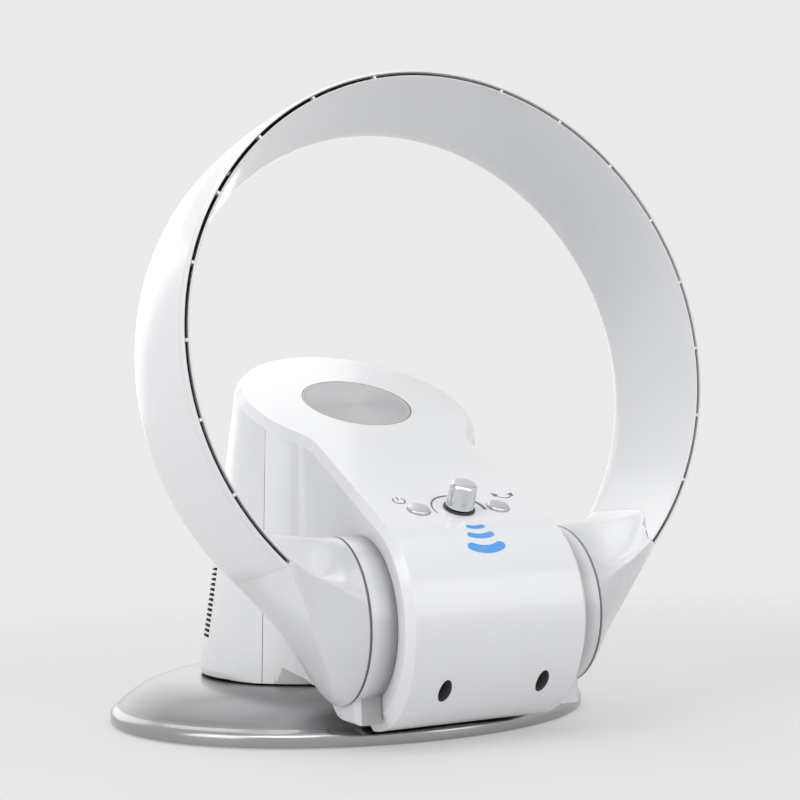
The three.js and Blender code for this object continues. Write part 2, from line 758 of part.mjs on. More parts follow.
// Points round the ring's section, each with the hub angle that it runs to, where 0 is back, 90 up
// and 180 front, and its share of the shoulder, of the front face and of the scoop.
function armStations(inset) {
  const half = ringDepth / 2 - inset;
  const inner = Array.from({ length: 8 }, (_, i) => {
    const t = i / 8;
    const depth = ringDepth / 2 + half * Math.cos(Math.PI * t);
    const shelf = eased(depth / 24) * eased((ringDepth - depth) / 9);
    const hollow = Math.sin(Math.PI * Math.max(0, (t - 0.56) / 0.44)) ** 2;
    return { out: innerAt(depth, inset), depth, hub: lerp(2, crestAngle, t), shelf, front: 0, hollow };
  });
  const lip = Array.from({ length: 4 }, (_, i) => {
    const t = i / 3;
    const out = lerp(-lipEdge - 0.9, lipEdge + 1.1, t) * (1 - inset / 4);
    return { out, depth: 0.3 + inset, hub: lerp(crestAngle, ridgeAngle, t), shelf: 0,
      front: Math.sin(Math.PI * t), hollow: 0 };
  });
  const outer = Array.from({ length: 4 }, (_, i) => {
    const t = (i + 1) / 5;
    const depth = ringDepth / 2 - half * Math.cos(Math.PI * t);
    const hub = lerp(ridgeAngle, 362, t);
    return { out: outerAt(depth, inset), depth, hub, shelf: 0, front: 0, hollow: 0 };
  });
  return [...inner, ...lip, ...outer];
}

// Sections from the ring's end, or from its shoulder on the inner wall, to the hub's face.
function armSections(inset, to, steps) {
  const stations = armStations(inset);
  const startPull = 34;
  const endPull = 22;
  const edge = hubRadius - inset;
  return Array.from({ length: steps + 1 }, (_, k) => {
    const t = to * k / steps;
    const h00 = 2 * t ** 3 - 3 * t ** 2 + 1;
    const h10 = t ** 3 - 2 * t ** 2 + t;
    const h01 = -2 * t ** 3 + 3 * t ** 2;
    const h11 = t ** 3 - t ** 2;
    const belly = Math.sin(Math.PI * t) ** 1.3;
    return stations.map(({ out, depth, hub, shelf, front, hollow }) => {
      const raised = inset > 0 ? 0 : shelf;
      const turn = rad(lerp(ringEnd, shoulderAngle, raised));
      const radius = slitRadius + out;
      const start = [radius * Math.sin(turn), -ringReach + depth, ringRise + radius * Math.cos(turn)];
      const end = [hubFace + seatGap, edge * Math.cos(rad(hub)), edge * Math.sin(rad(hub))];
      const startWay = [lerp(Math.cos(turn), -1, raised), 0, lerp(-Math.sin(turn), 0, raised)];
      const scooped = belly * scoopDepth * hollow;
      const pressed = [0, belly * dishDepth * front + 0.6 * scooped, -0.8 * scooped];
      const endWay = [-endPull, 0, 0];
      return [0, 1, 2].map((a) => (
        h00 * start[a] + h10 * startPull * startWay[a] + h01 * end[a] + h11 * endWay[a] + pressed[a]));
    });
  });
}

// The room that the ring takes up, down to its ends, with a gap along its inner wall.
function ringRoom() {
  const beyond = ringBulge + 40;
  const wall = wallLine(innerAt, -seatGap);
  const section = [[beyond, -3], [-lipEdge - seatGap, -3], ...wall, [beyond, ringDepth + 3]];
  return common(ringTurn(section), ringWedge(ringEnd + 0.15));
}

function makeArms() {
  const body = cut(loft(armSections(0, 1, 6)), ringRoom());
  const wall = 2.6;
  const hollow = loft(armSections(wall, 0.93, 3));
  const mouth = alongX(rod(trunnionRadius - trunnionWall, hubFace - 5, hubFace + 8));
  const arm = cut(body, hollow, mouth);
  place(ring, 'right_arm', arm, white);
  place(ring, 'left_arm', mirrored(arm), white);
}

// ---------------------------------------------------------------- foot plate

function makeFoot() {
  const spindleBottom = gearBottom - 0.5;
  const inner = spindleRadius - 4;
  const plate = rod(columnFootRadius - shellWall - 2, footZ + seatGap, footZ + 2.6);
  const spindle = rod(spindleRadius, gearTop + seatGap, footZ + 1);
  const stub = rod(inner, spindleBottom, footZ);
  const posts = [90, 210, 330].map((a) => (
    rod(4.5, footZ + 1, damperBottom - seatGap)
      .translate(damperCircle * Math.cos(rad(a)), blowerY + damperCircle * Math.sin(rad(a)), 0)));
  place(head, 'foot_plate', join(plate, spindle, stub, ...posts), dark);
}

// ---------------------------------------------------------------- blower

const damperCircle = 43;
const damperBottom = 44;
const damperTop = 49;
const ductBottom = damperTop + seatGap;
const impellerBottom = 60;
const impellerTop = 80;
const motorBottom = 85;
const motorTop = 119;
const ductTop = 128;

function makeBlower() {
  const throat = impellerRadius - 7;
  const liner = impellerRadius + 1.5;
  const clear = liner / Math.cos(Math.PI / facetsFor(48));
  const at = (mesh) => mesh.position.setY(blowerY);
  at(place(head, 'damper_ring', tube(38, 48, damperBottom, damperTop), rubber));
  at(place(head, 'fan_duct', turned([
    [48, ductBottom], [48, ductBottom + ductWall], [throat + ductWall, ductBottom + 8],
    [clear + ductWall, impellerTop - 4], [clear + ductWall, ductTop], [clear, ductTop],
    [clear, impellerTop - 4], [throat, ductBottom + 8], [throat + 5, ductBottom],
  ]), pale));

  at(place(head, 'diffuser', makeDiffuser(liner), pale));
  at(place(head, 'motor_can', turned([
    [6.3, motorBottom], [motorRadius, motorBottom], [motorRadius, motorTop], [motorRadius - 1.5, motorTop],
    [motorRadius - 1.5, motorBottom + 2], [6.3, motorBottom + 2],
  ]), steel));
  at(place(head, 'motor_end_cap', turned([
    [5.3, motorTop + seatGap], [motorRadius, motorTop + seatGap], [motorRadius, motorTop + 2.5],
    [9, motorTop + 4], [9, motorTop + 7], [5.3, motorTop + 7],
  ]), dark));
  at(place(head, 'motor_stator', makeStator(), copper));
  const bearing = (outer, bottom) => tube(shaftRadius + seatGap, outer, bottom, bottom + 4.5);
  at(place(head, 'lower_bearing', bearing(6, motorBottom - 1), steel));
  at(place(head, 'upper_bearing', bearing(5, motorTop + 2), steel));

  at(place(head, 'motor_rotor', tube(shaftRadius + seatGap, 11.5, motorBottom + 8, motorTop - 6), steel));
  at(place(head, 'motor_shaft', rod(shaftRadius, impellerBottom - 3, motorTop + 9), steel));
  at(place(head, 'impeller', makeImpeller(), dark));
}

function makeStator() {
  const outer = motorRadius - 1.5 - seatGap;
  const core = tube(outer - 3, outer, motorBottom + 8, motorTop - 6);
  const poles = Array.from({ length: 6 }, (_, k) => (
    box(12.4, outer - 2, -3, 3, motorBottom + 8, motorTop - 6).rotateZ(rad(60 * k))));
  return join(core, ...poles);
}

// A cup round the motor, held in the duct by upright vanes.
function makeDiffuser(liner) {
  const cup = tube(motorRadius + seatGap, motorRadius + 2, motorBottom + 1, motorTop - 2);
  const vanes = Array.from({ length: 7 }, (_, k) => (
    box(motorRadius + 1, liner - seatGap - 0.1, -0.8, 0.8, motorBottom + 4, motorTop - 6)
      .rotateZ(2 * Math.PI * k / 7)));
  return join(cup, ...vanes);
}

// Twisted blades on a cone: each blade is a loft from its root to its tip.
function makeImpeller() {
  const hub = turned([
    [shaftRadius + seatGap, impellerBottom], [8, impellerBottom], [15, impellerBottom + 7],
    [24, impellerTop], [20, impellerTop], [8, impellerTop - 8], [shaftRadius + seatGap, impellerTop - 8],
  ]);
  const blades = Array.from({ length: impellerBlades }, (_, k) => (
    bladeLoft().rotateZ(2 * Math.PI * k / impellerBlades)));
  return join(hub, ...blades);
}

function bladeLoft() {
  const steps = 2;
  const thickness = 1.2;
  return loft(Array.from({ length: steps + 1 }, (_, i) => {
    const t = i / steps;
    const z = lerp(impellerBottom + 1.5, impellerTop - 0.5, t);
    const root = lerp(8, 21.5, t);
    const tip = lerp(impellerRadius - 8.5, impellerRadius, t);
    const twist = rad(62 * t - 12 * t * t);
    const lean = rad(8);
    const corner = (radius, across, angle) => {
      const x = radius * Math.cos(angle) - across * Math.sin(angle);
      const y = radius * Math.sin(angle) + across * Math.cos(angle);
      return [x, y, z];
    };
    const half = thickness / 2;
    return [
      corner(root, -half, twist), corner(tip, -half, twist + lean),
      corner(tip, half, twist + lean), corner(root, half, twist),
    ];
  }));
}

// The hood turns the air forward under the deck; each section spans from its lower to its upper
// edge, as [y, z], with a half width.
function hoodSection([lowY, lowZ], [highY, highZ], halfWidth, inset) {
  const around = 12;
  const length = Math.hypot(highY - lowY, highZ - lowZ);
  const reach = (length / 2 - inset) / length;
  return Array.from({ length: around }, (_, i) => {
    const angle = 2 * Math.PI * i / around;
    const across = Math.cos(angle) * reach;
    return [
      (halfWidth - inset) * Math.sin(angle),
      (lowY + highY) / 2 + (highY - lowY) * across,
      (lowZ + highZ) / 2 + (highZ - lowZ) * across,
    ];
  });
}

function makeHood() {
  const mouth = ductTop + seatGap;
  const radius = impellerRadius + 1.5 + ductWall;
  const neck = Math.min(radius, drumHalfWidth - shellWall - 2);
  const rearY = blowerY + 22;
  const crownY = blowerY - 50;
  const frontY = tiltAxisY + 38.5;
  const ceiling = (y) => deckHeight(y, plateDepth + 7);
  const drop = Math.max(0, mouth + 46 - ceiling(rearY));
  const route = [
    [[blowerY - radius, mouth], [blowerY + radius, mouth], radius],
    [[blowerY - radius - 1, mouth + 4], [blowerY + radius - 3, mouth + 22 - drop / 2], radius],
    [[blowerY - radius - 4, mouth + 6], [rearY, mouth + 46 - drop], lerp(radius, neck, 0.5)],
    [[blowerY - radius - 13, mouth - 2], [crownY, Math.min(mouth + 32, ceiling(crownY))], neck],
    [[blowerY - radius - 24, mouth - 38], [frontY, Math.min(mouth + 7, ceiling(frontY))], neck],
  ];
  const skin = (inset) => loft(route.map(([low, high, half]) => hoodSection(low, high, half, inset)));
  const [first, last] = [route[0], route[route.length - 1]];
  const past = (section, dy, dz) => hoodSection(
    [section[0][0] + dy, section[0][1] + dz], [section[1][0] + dy, section[1][1] + dz], section[2], ductWall);
  const inside = loft([
    past(first, 0, -1), ...route.map(([low, high, half]) => hoodSection(low, high, half, ductWall)),
    past(last, -4, -2),
  ]);
  place(head, 'air_hood', cut(skin(0), inside), pale);
}

// ---------------------------------------------------------------- controls

const boardTop = -9.3;
const postSide = 34;
const postUp = 22;

function makeControls() {
  const board = box(-42, 42, 4, 50, boardTop - 1.6, boardTop);
  place(deck, 'control_board', board, green);
  place(deck, 'remote_receiver', box(-38, -31, 6, 10, boardTop + seatGap, boardTop + 4), dark);

  const bezel = turned([
    [shaftRadius + 1, -plateDepth], [knobRadius, -plateDepth], [knobRadius, seatGap],
    [knobRadius + 1.7, seatGap], [knobRadius + 1.5, 1.4], [shaftRadius + 1, 1.4],
  ]);
  place(deck, 'knob_bezel', bezel, dark).position.y = knobUp;
  const knob = turned([
    [0, boardTop + 2.5], [shaftRadius, boardTop + 2.5], [shaftRadius, 1.7], [knobRadius, 1.7],
    [knobRadius, knobHeight - 1.2], [knobRadius - 1.2, knobHeight], [0, knobHeight],
  ]);
  place(deck, 'control_knob', knob, steel).position.y = knobUp;
  const potentiometer = box(-6.5, 6.5, -6.5, 6.5, boardTop + seatGap, -plateDepth - seatGap);
  const well = bore(shaftRadius + seatGap, boardTop + 2.2, 5);
  place(deck, 'knob_potentiometer', cut(potentiometer, well), dark).position.y = knobUp;

  for (const [name, side] of [['left', -1], ['right', 1]]) {
    const flange = -plateDepth - seatGap;
    const button = turned([
      [0, flange - 2.6], [1.5, flange - 2.6], [1.5, flange - 1.2], [buttonRadius + 1.3, flange - 1.2],
      [buttonRadius + 1.3, flange], [buttonRadius, flange], [buttonRadius, 0.9],
      [buttonRadius - 0.6, 1.5], [0, 1.5],
    ]);
    place(deck, `${name}_button`, button, silver).position.set(side * buttonSide, buttonUp, 0);
    const top = flange - 2.6 - buttonTravel - seatGap;
    const micro = box(-3, 3, -3, 3, boardTop + seatGap, top);
    place(deck, `${name}_switch`, micro, dark).position.set(side * buttonSide, buttonUp, 0);
  }
}

makeBase();
makeSwingDrive();
makeHousings();
makeInlet();
makeTopCover();
makeFrontCover();
makeFrontScrews();
makeCollars();
makeTrunnions();
makeRing();
makeArms();
makeFoot();
makeBlower();
makeHood();
makeControls();

export default fan;
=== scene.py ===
import bpy
import bmesh
import json
from math import asin, atan2, cos, degrees, hypot, pi, radians, sin, sqrt, tan
from mathutils import Matrix, Vector


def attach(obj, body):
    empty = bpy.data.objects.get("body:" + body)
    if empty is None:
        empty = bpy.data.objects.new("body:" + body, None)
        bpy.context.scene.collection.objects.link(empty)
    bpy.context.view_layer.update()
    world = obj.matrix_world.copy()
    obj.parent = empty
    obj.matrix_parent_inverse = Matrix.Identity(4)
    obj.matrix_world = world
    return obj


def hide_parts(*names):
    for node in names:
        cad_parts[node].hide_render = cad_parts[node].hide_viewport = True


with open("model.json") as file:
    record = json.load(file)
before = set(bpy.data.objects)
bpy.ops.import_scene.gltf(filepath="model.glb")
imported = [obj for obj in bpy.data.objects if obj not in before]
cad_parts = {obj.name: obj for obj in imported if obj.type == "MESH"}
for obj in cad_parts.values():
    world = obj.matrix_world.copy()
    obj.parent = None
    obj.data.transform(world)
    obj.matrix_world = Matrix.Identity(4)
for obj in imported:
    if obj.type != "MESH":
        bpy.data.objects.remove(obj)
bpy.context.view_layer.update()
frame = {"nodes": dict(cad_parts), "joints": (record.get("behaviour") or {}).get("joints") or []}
mm = 0.001
print("frame loaded:", len(frame["nodes"]), "nodes")

# Pieces are drawn in millimetres, each in the place of the floor, the deck, the ring or the drum.
joints = {joint["name"]: joint for joint in frame["joints"]}
tiltAt = Vector(joints["ring_tilt"]["pos_m"]) / mm
deckUp = Vector(joints["knob_turn"]["axis"])
slope = atan2(-deckUp.y, deckUp.z)

drum = {"radius": 54.5, "halfWidth": 52, "bevelDrop": 4.2, "bevelRun": 3.7, "wall": 2.6, "plate": 2.4,
        "lip": 3, "lastAngle": 178}
crease = Vector((0, tiltAt.y - drum["radius"] * sin(slope), tiltAt.z + drum["radius"] * cos(slope)))

floorPlace = Matrix.Identity(4)
deckPlace = Matrix.Translation(crease) @ Matrix.Rotation(slope, 4, "X")
ringPose = {"leanBack": 6.4, "rise": 134.6, "reach": 40.8}
ringPlace = Matrix.Translation(tiltAt) @ Matrix.Rotation(-radians(ringPose["leanBack"]), 4, "X")
drumPlace = Matrix.Translation(tiltAt)


def newMaterial(name, color, roughness=0.4, metallic=0.0, coat=0.0, specular=0.5):
    material = bpy.data.materials.new(name)
    material.use_nodes = True
    shader = material.node_tree.nodes["Principled BSDF"]
    shader.inputs["Base Color"].default_value = (*color, 1)
    shader.inputs["Roughness"].default_value = roughness
    shader.inputs["Metallic"].default_value = metallic
    shader.inputs["Coat Weight"].default_value = coat
    shader.inputs["Coat Roughness"].default_value = 0.08
    shader.inputs["Specular IOR Level"].default_value = specular
    return material, material.node_tree, shader


def objectPattern(tree, kind, size, stretch=(1, 1, 1), centre=(0, 0, 0)):
    coordinates = tree.nodes.new("ShaderNodeTexCoord")
    mapping = tree.nodes.new("ShaderNodeMapping")
    mapping.inputs["Location"].default_value = [-c * s for c, s in zip(centre, stretch)]
    mapping.inputs["Scale"].default_value = stretch
    pattern = tree.nodes.new(kind)
    pattern.inputs["Scale"].default_value = size
    tree.links.new(coordinates.outputs["Object"], mapping.inputs["Vector"])
    tree.links.new(mapping.outputs["Vector"], pattern.inputs["Vector"])
    return pattern


def spread(tree, value, low, high):
    reach = tree.nodes.new("ShaderNodeMapRange")
    reach.inputs["To Min"].default_value = low
    reach.inputs["To Max"].default_value = high
    tree.links.new(value, reach.inputs["Value"])
    return reach.outputs["Result"]


def varyRoughness(tree, shader, value, low, high):
    tree.links.new(spread(tree, value, low, high), shader.inputs["Roughness"])


def tint(tree, value, dark, light):
    ramp = tree.nodes.new("ShaderNodeValToRGB")
    ramp.color_ramp.elements[0].color = (*dark, 1)
    ramp.color_ramp.elements[1].color = (*light, 1)
    tree.links.new(value, ramp.inputs["Fac"])
    return ramp.outputs["Color"]


def addBump(tree, shader, value, distance, strength=1.0):
    bump = tree.nodes.new("ShaderNodeBump")
    bump.inputs["Distance"].default_value = distance
    bump.inputs["Strength"].default_value = strength
    tree.links.new(value, bump.inputs["Height"])
    tree.links.new(bump.outputs["Normal"], shader.inputs["Normal"])


def moulded(name, color, roughness, coat=0.0, grain=0.00002, mottle=0.015):
    # Injection-moulded plastic: a faint cloudiness and a very fine skin.
    material, tree, shader = newMaterial(name, color, roughness, coat=coat)
    cloud = objectPattern(tree, "ShaderNodeTexNoise", 9)
    cloud.inputs["Detail"].default_value = 3
    dim = [max(0, c - mottle) for c in color]
    lit = [min(1, c + mottle) for c in color]
    tree.links.new(tint(tree, cloud.outputs["Fac"], dim, lit), shader.inputs["Base Color"])
    skin = objectPattern(tree, "ShaderNodeTexNoise", 2600)
    varyRoughness(tree, shader, skin.outputs["Fac"], roughness - 0.04, roughness + 0.05)
    addBump(tree, shader, skin.outputs["Fac"], grain, 0.6)
    return material


def brushedRound(name, color, roughness, centre, normalTurn=0.0):
    # Metal turned on a lathe: fine rings about the piece's own middle.
    material, tree, shader = newMaterial(name, color, roughness, metallic=1.0)
    coordinates = tree.nodes.new("ShaderNodeTexCoord")
    mapping = tree.nodes.new("ShaderNodeMapping")
    mapping.vector_type = "TEXTURE"
    mapping.inputs["Location"].default_value = centre
    mapping.inputs["Rotation"].default_value = (normalTurn, 0, 0)
    rings = tree.nodes.new("ShaderNodeTexWave")
    rings.wave_type = "RINGS"
    rings.rings_direction = "Z"
    rings.inputs["Scale"].default_value = 420
    rings.inputs["Distortion"].default_value = 0.6
    rings.inputs["Detail"].default_value = 2
    tree.links.new(coordinates.outputs["Object"], mapping.inputs["Vector"])
    tree.links.new(mapping.outputs["Vector"], rings.inputs["Vector"])
    varyRoughness(tree, shader, rings.outputs["Fac"], roughness - 0.07, roughness + 0.09)
    addBump(tree, shader, rings.outputs["Fac"], 0.00001, 0.5)
    shader.inputs["Anisotropic"].default_value = 0.6
    return material


whiteGloss = moulded("whiteGloss", (0.83, 0.835, 0.845), 0.24, coat=0.35)
whiteSatin = moulded("whiteSatin", (0.78, 0.785, 0.795), 0.34, coat=0.1)
hollowShade = moulded("hollowShade", (0.03, 0.03, 0.033), 0.7)
darkPlastic = moulded("darkPlastic", (0.045, 0.047, 0.052), 0.55)
naturalNylon = moulded("naturalNylon", (0.66, 0.64, 0.58), 0.5)
blackRubber = moulded("blackRubber", (0.025, 0.025, 0.027), 0.8, grain=0.0001)
circuitGreen = moulded("circuitGreen", (0.03, 0.15, 0.07), 0.45, mottle=0.02)
printGrey = moulded("printGrey", (0.16, 0.165, 0.175), 0.5)
shadowGrey = moulded("shadowGrey", (0.13, 0.132, 0.138), 0.5)
ductShadeGrey = moulded("ductShadeGrey", (0.2, 0.202, 0.208), 0.5)
# A mid grey that paints shade on the left toe's recessed front.
toeShadeGrey = moulded("toeShadeGrey", (0.42, 0.422, 0.43), 0.4)
bellyGrey = moulded("bellyGrey", (0.55, 0.553, 0.56), 0.35)


def metalFlake(name, color, roughness):
    # Satin silver paint with a fine metal flake.
    material, tree, shader = newMaterial(name, color, roughness, metallic=0.85, coat=0.15)
    flake = objectPattern(tree, "ShaderNodeTexNoise", 1500)
    flake.inputs["Detail"].default_value = 4
    dim = [c * 0.88 for c in color]
    lit = [min(1, c * 1.1) for c in color]
    tree.links.new(tint(tree, flake.outputs["Fac"], dim, lit), shader.inputs["Base Color"])
    varyRoughness(tree, shader, flake.outputs["Fac"], roughness - 0.06, roughness + 0.08)
    addBump(tree, shader, flake.outputs["Fac"], 0.00002, 0.4)
    return material


def machined(name, color, roughness):
    material, tree, shader = newMaterial(name, color, roughness, metallic=1.0)
    streak = objectPattern(tree, "ShaderNodeTexNoise", 160, stretch=(1, 1, 0.05))
    streak.inputs["Detail"].default_value = 5
    varyRoughness(tree, shader, streak.outputs["Fac"], roughness - 0.08, roughness + 0.1)
    addBump(tree, shader, streak.outputs["Fac"], 0.00002, 0.4)
    return material


silverSatin = metalFlake("silverSatin", (0.235, 0.238, 0.242), 0.34)
rimPolish = machined("rimPolish", (0.37, 0.373, 0.378), 0.2)
knobMetal = machined("knobMetal", (0.68, 0.685, 0.7), 0.2)
buttonSilver = metalFlake("buttonSilver", (0.6, 0.605, 0.615), 0.3)
plainSteel = machined("plainSteel", (0.55, 0.555, 0.56), 0.32)
windingCopper = machined("windingCopper", (0.62, 0.3, 0.14), 0.4)
print("surfaces made")


def finishPiece(form, name, body, materials, stands=(), place=floorPlace, sharpAngle=32):
    bmesh.ops.transform(form, matrix=Matrix.Scale(mm, 4) @ place, verts=form.verts)
    bmesh.ops.remove_doubles(form, verts=form.verts, dist=0.000002)
    bmesh.ops.recalc_face_normals(form, faces=form.faces)
    for face in form.faces:
        face.smooth = True
    for edge in form.edges:
        edge.smooth = len(edge.link_faces) == 2 and edge.calc_face_angle(0) < radians(sharpAngle)
    mesh = bpy.data.meshes.new(name)
    form.to_mesh(mesh)
    form.free()
    piece = bpy.data.objects.new(name, mesh)
    bpy.context.scene.collection.objects.link(piece)
    for material in materials:
        mesh.materials.append(material)
    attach(piece, body)
    if stands:
        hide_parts(*stands)
    return piece


def outlineRing(form, points):
    # A closed ring of edges through the points, in order.
    verts = [form.verts.new(point) for point in points]
    return [form.edges.new((verts[i], verts[(i + 1) % len(verts)])) for i in range(len(verts))]


def lofted(sections, capped=True):
    form = bmesh.new()
    rings = [outlineRing(form, section) for section in sections]
    for low, high in zip(rings, rings[1:]):
        bmesh.ops.bridge_loops(form, edges=low + high)
    if capped:
        for ring in (rings[0], rings[-1]):
            bmesh.ops.contextual_create(form, geom=ring)
    bmesh.ops.recalc_face_normals(form, faces=form.faces)
    return form


def turned(profile, steps, turn=360, start=0.0):
    # Profile points are (radius, height) and turn about Z; the profile closes on itself.
    form = bmesh.new()
    points = [(r * cos(radians(start)), r * sin(radians(start)), z) for r, z in profile]
    onAxis = profile[0][0] == 0 and profile[-1][0] == 0
    verts = [form.verts.new(point) for point in points]
    pairs = list(zip(verts, verts[1:])) + ([] if onAxis else [(verts[-1], verts[0])])
    edges = [form.edges.new(pair) for pair in pairs]
    full = turn == 360
    bmesh.ops.spin(form, geom=verts + edges, cent=(0, 0, 0), axis=(0, 0, 1), angle=radians(turn),
                   steps=steps, use_merge=full, use_duplicate=False)
    if full:
        bmesh.ops.remove_doubles(form, verts=form.verts, dist=0.0005)
    else:
        ends = [edge for edge in form.edges if len(edge.link_faces) == 1]
        bmesh.ops.holes_fill(form, edges=ends)
    bmesh.ops.recalc_face_normals(form, faces=form.faces)
    return form


def rod(radius, bottom, top, steps=48):
    return turned([(0, bottom), (radius, bottom), (radius, top), (0, top)], steps)


def moved(form, *matrices):
    for matrix in matrices:
        bmesh.ops.transform(form, matrix=matrix, verts=form.verts)
    return form


def shift(x, y, z):
    return Matrix.Translation((x, y, z))


def turn(angle, axis):
    return Matrix.Rotation(radians(angle), 4, axis)


def merged(*forms):
    mesh = bpy.data.meshes.new("merged")
    whole = bmesh.new()
    for form in forms:
        form.to_mesh(mesh)
        form.free()
        whole.from_mesh(mesh)
    bpy.data.meshes.remove(mesh)
    return whole


def asObject(form, name):
    mesh = bpy.data.meshes.new(name)
    form.to_mesh(mesh)
    form.free()
    shape = bpy.data.objects.new(name, mesh)
    bpy.context.scene.collection.objects.link(shape)
    return shape


def carved(form, *steps):
    # Each step is an operation and the shape it uses.
    body = asObject(form, "carving")
    for operation, other in steps:
        tool = asObject(other, "cutter")
        carve = body.modifiers.new("carve", "BOOLEAN")
        carve.operation = operation
        carve.solver = "MANIFOLD"
        carve.object = tool
        result = bpy.data.meshes.new_from_object(body.evaluated_get(bpy.context.evaluated_depsgraph_get()))
        body.modifiers.clear()
        body.data = result
        bpy.data.objects.remove(tool)
    form = bmesh.new()
    form.from_mesh(body.data)
    bpy.data.objects.remove(body)
    return form


def arc(centreX, centreY, radius, first, last, steps):
    return [(centreX + radius * cos(radians(first + (last - first) * i / steps)),
             centreY + radius * sin(radians(first + (last - first) * i / steps))) for i in range(steps + 1)]


def mix(a, b, t):
    return a + (b - a) * t


def prism(points, low, high, axis="Z"):
    # An outline raised along Z, or laid across along X, where its points are (y, z).
    if axis == "X":
        return lofted([[(x, y, z) for y, z in points] for x in (low, high)])
    return lofted([[(x, y, z) for x, y in points] for z in (low, high)])


def eased(t):
    t = max(0, min(1, t))
    return t * t * (3 - 2 * t)


base = {"radius": 143, "skirtFrom": 1, "skirtTop": 6.5, "top": 25.6, "topRadius": 94, "bore": 15.3, "wall": 2,
        "fullness": 2.7, "edge": 4, "bandRadius": 139.6, "bandTop": 9.7, "collar": 4, "collarFoot": 17}
swingGap = 1.1
footZ = base["top"] + swingGap


def domeLine(raised=0, steps=24):
    edge = base["radius"] - base["edge"]
    line = []
    for i in range(steps + 1):
        t = i / steps
        height = mix(base["skirtTop"] + 3.5, base["top"], 1 - (1 - t) ** base["fullness"])
        line.append((mix(edge, base["topRadius"], t), height + raised))
    return line


def baseShell():
    foot, top, radius, bore, flat = (base[key] for key in ("skirtFrom", "skirtTop", "radius", "bore", "top"))
    under = flat - base["wall"]
    inner = radius - base["wall"]
    low, outer = base["collarFoot"], bore + base["collar"]
    rim = [(radius - 0.6, foot), (radius - 0.1, foot + 0.6), (radius, top - 0.8), (radius - 0.2, top + 0.2),
           (radius - 0.8, top + 1.2), (radius - 2.2, top + 2.4)]
    hub = [(88, flat), (bore + 0.8, flat), (bore, flat - 0.6), (bore, low), (outer, low), (outer, under)]
    inside = [(base["topRadius"], under), (120, 18.4), (133, 11), (inner - 2, 8), (inner, 5.5), (inner, foot)]
    form = turned(rim + domeLine() + hub + inside, 256)
    silver, polish = 0, 1
    for face in form.faces:
        middle = face.calc_center_median()
        onBand = hypot(middle.x, middle.y) > base["bandRadius"] and middle.z < base["bandTop"]
        face.material_index = polish if onBand else silver
    return form


finishPiece(baseShell(), "baseShell", "base", [silverSatin, rimPolish], ["base_cover"])
print("base made")


column = {"footRadius": 90, "topRadius": 69, "topShift": -28, "topZ": 222, "fillet": 20, "seamY": -50.5,
          "floorAhead": 1.6}
belly = {"front": -75, "back": -56, "rise": 16 / 24.5, "ledge": 4.0, "widen": 0.58, "straightFrom": -69}
gap = 0.3


def columnAt(z):
    t = (z - footZ) / (column["topZ"] - footZ)
    return mix(column["footRadius"], column["topRadius"], t), mix(0, column["topShift"], t)


def keyhole(z, inset, filletSteps=12, roundSteps=44):
    radius, centreY = columnAt(z)
    radius -= inset
    side = drum["halfWidth"] - inset
    fillet = column["fillet"] + inset
    filletY = centreY - sqrt((radius + fillet) ** 2 - (side + fillet) ** 2)
    meet = degrees(atan2(filletY - centreY, side + fillet))
    right = [(side, tiltAt.y - drum["radius"] - 20)]
    right += arc(side + fillet, filletY, fillet, 180, 180 + meet, filletSteps)
    right += arc(0, centreY, radius, meet, 90, roundSteps)[1:]
    return right + [(-x, y) for x, y in reversed(right[:-1])]


def columnForm(inset, low, high):
    return lofted([[(x, y, z) for x, y in keyhole(z, inset)] for z in (low, high)])


def deckHeight(y, depth):
    return crease.z + (y - crease.y) * tan(slope) - depth / cos(slope)


def sideShape(depth):
    back = column["footRadius"] + 30
    front = arc(tiltAt.y, tiltAt.z, drum["radius"] - depth, 90 + degrees(slope), 270, 72)
    points = [(back, -5), (back, deckHeight(back, depth))] + front + [(tiltAt.y, -5)]
    return prism(points, -120, 120, "X")


def sweptBase(raised=0, innerRadius=0.0):
    edge = base["radius"] + 40
    profile = [(innerRadius, -20), (edge, -20), (edge, base["skirtTop"] + swingGap + raised),
               (base["radius"], base["skirtTop"] + swingGap + raised)]
    profile += domeLine(swingGap + raised) + [(innerRadius, footZ + raised)]
    return turned(profile, 180)


coverDepth = drum["bevelDrop"] + 0.6
grille = {"bottom": 48.5, "top": 91, "slots": 14, "height": 1.8, "halfAngle": 86}
inlet = {"z": 37.5, "radius": 5.5, "clearance": 0.6}


def grilleCutters():
    pitch = (grille["top"] - grille["bottom"]) / grille["slots"]
    cutters = []
    for k in range(grille["slots"]):
        z = grille["bottom"] + (k + 0.5) * pitch
        radius, centreY = columnAt(z)
        ends = 90 - grille["halfAngle"], 90 + grille["halfAngle"]
        plan = arc(0, centreY, radius + 4, ends[0], ends[1], 24)
        plan += arc(0, centreY, radius - drum["wall"] - 4, ends[1], ends[0], 24)
        cutters.append(prism(plan, z - grille["height"] / 2, z + grille["height"] / 2))
    return merged(*cutters)


def bellyCutter(wall):
    # The neck's underside rises towards the back, beside the round foot.
    front, back, rise = belly["front"], belly["back"], belly["rise"]
    top = footZ + wall * hypot(1, rise)
    outline = [(front, -10), (back, -10), (back, top + (back - front) * rise), (front, top)]
    levels = []
    for z in (-20, 80):
        radius, centreY = columnAt(z)
        plan = arc(0, centreY + belly["ledge"], radius + belly["widen"] * belly["ledge"] - wall, 0, 360, 120)
        levels.append([(x, y, z) for x, y in plan[1:]])
    return carved(prism(outline, -100, 100, "X"), ("DIFFERENCE", lofted(levels)))


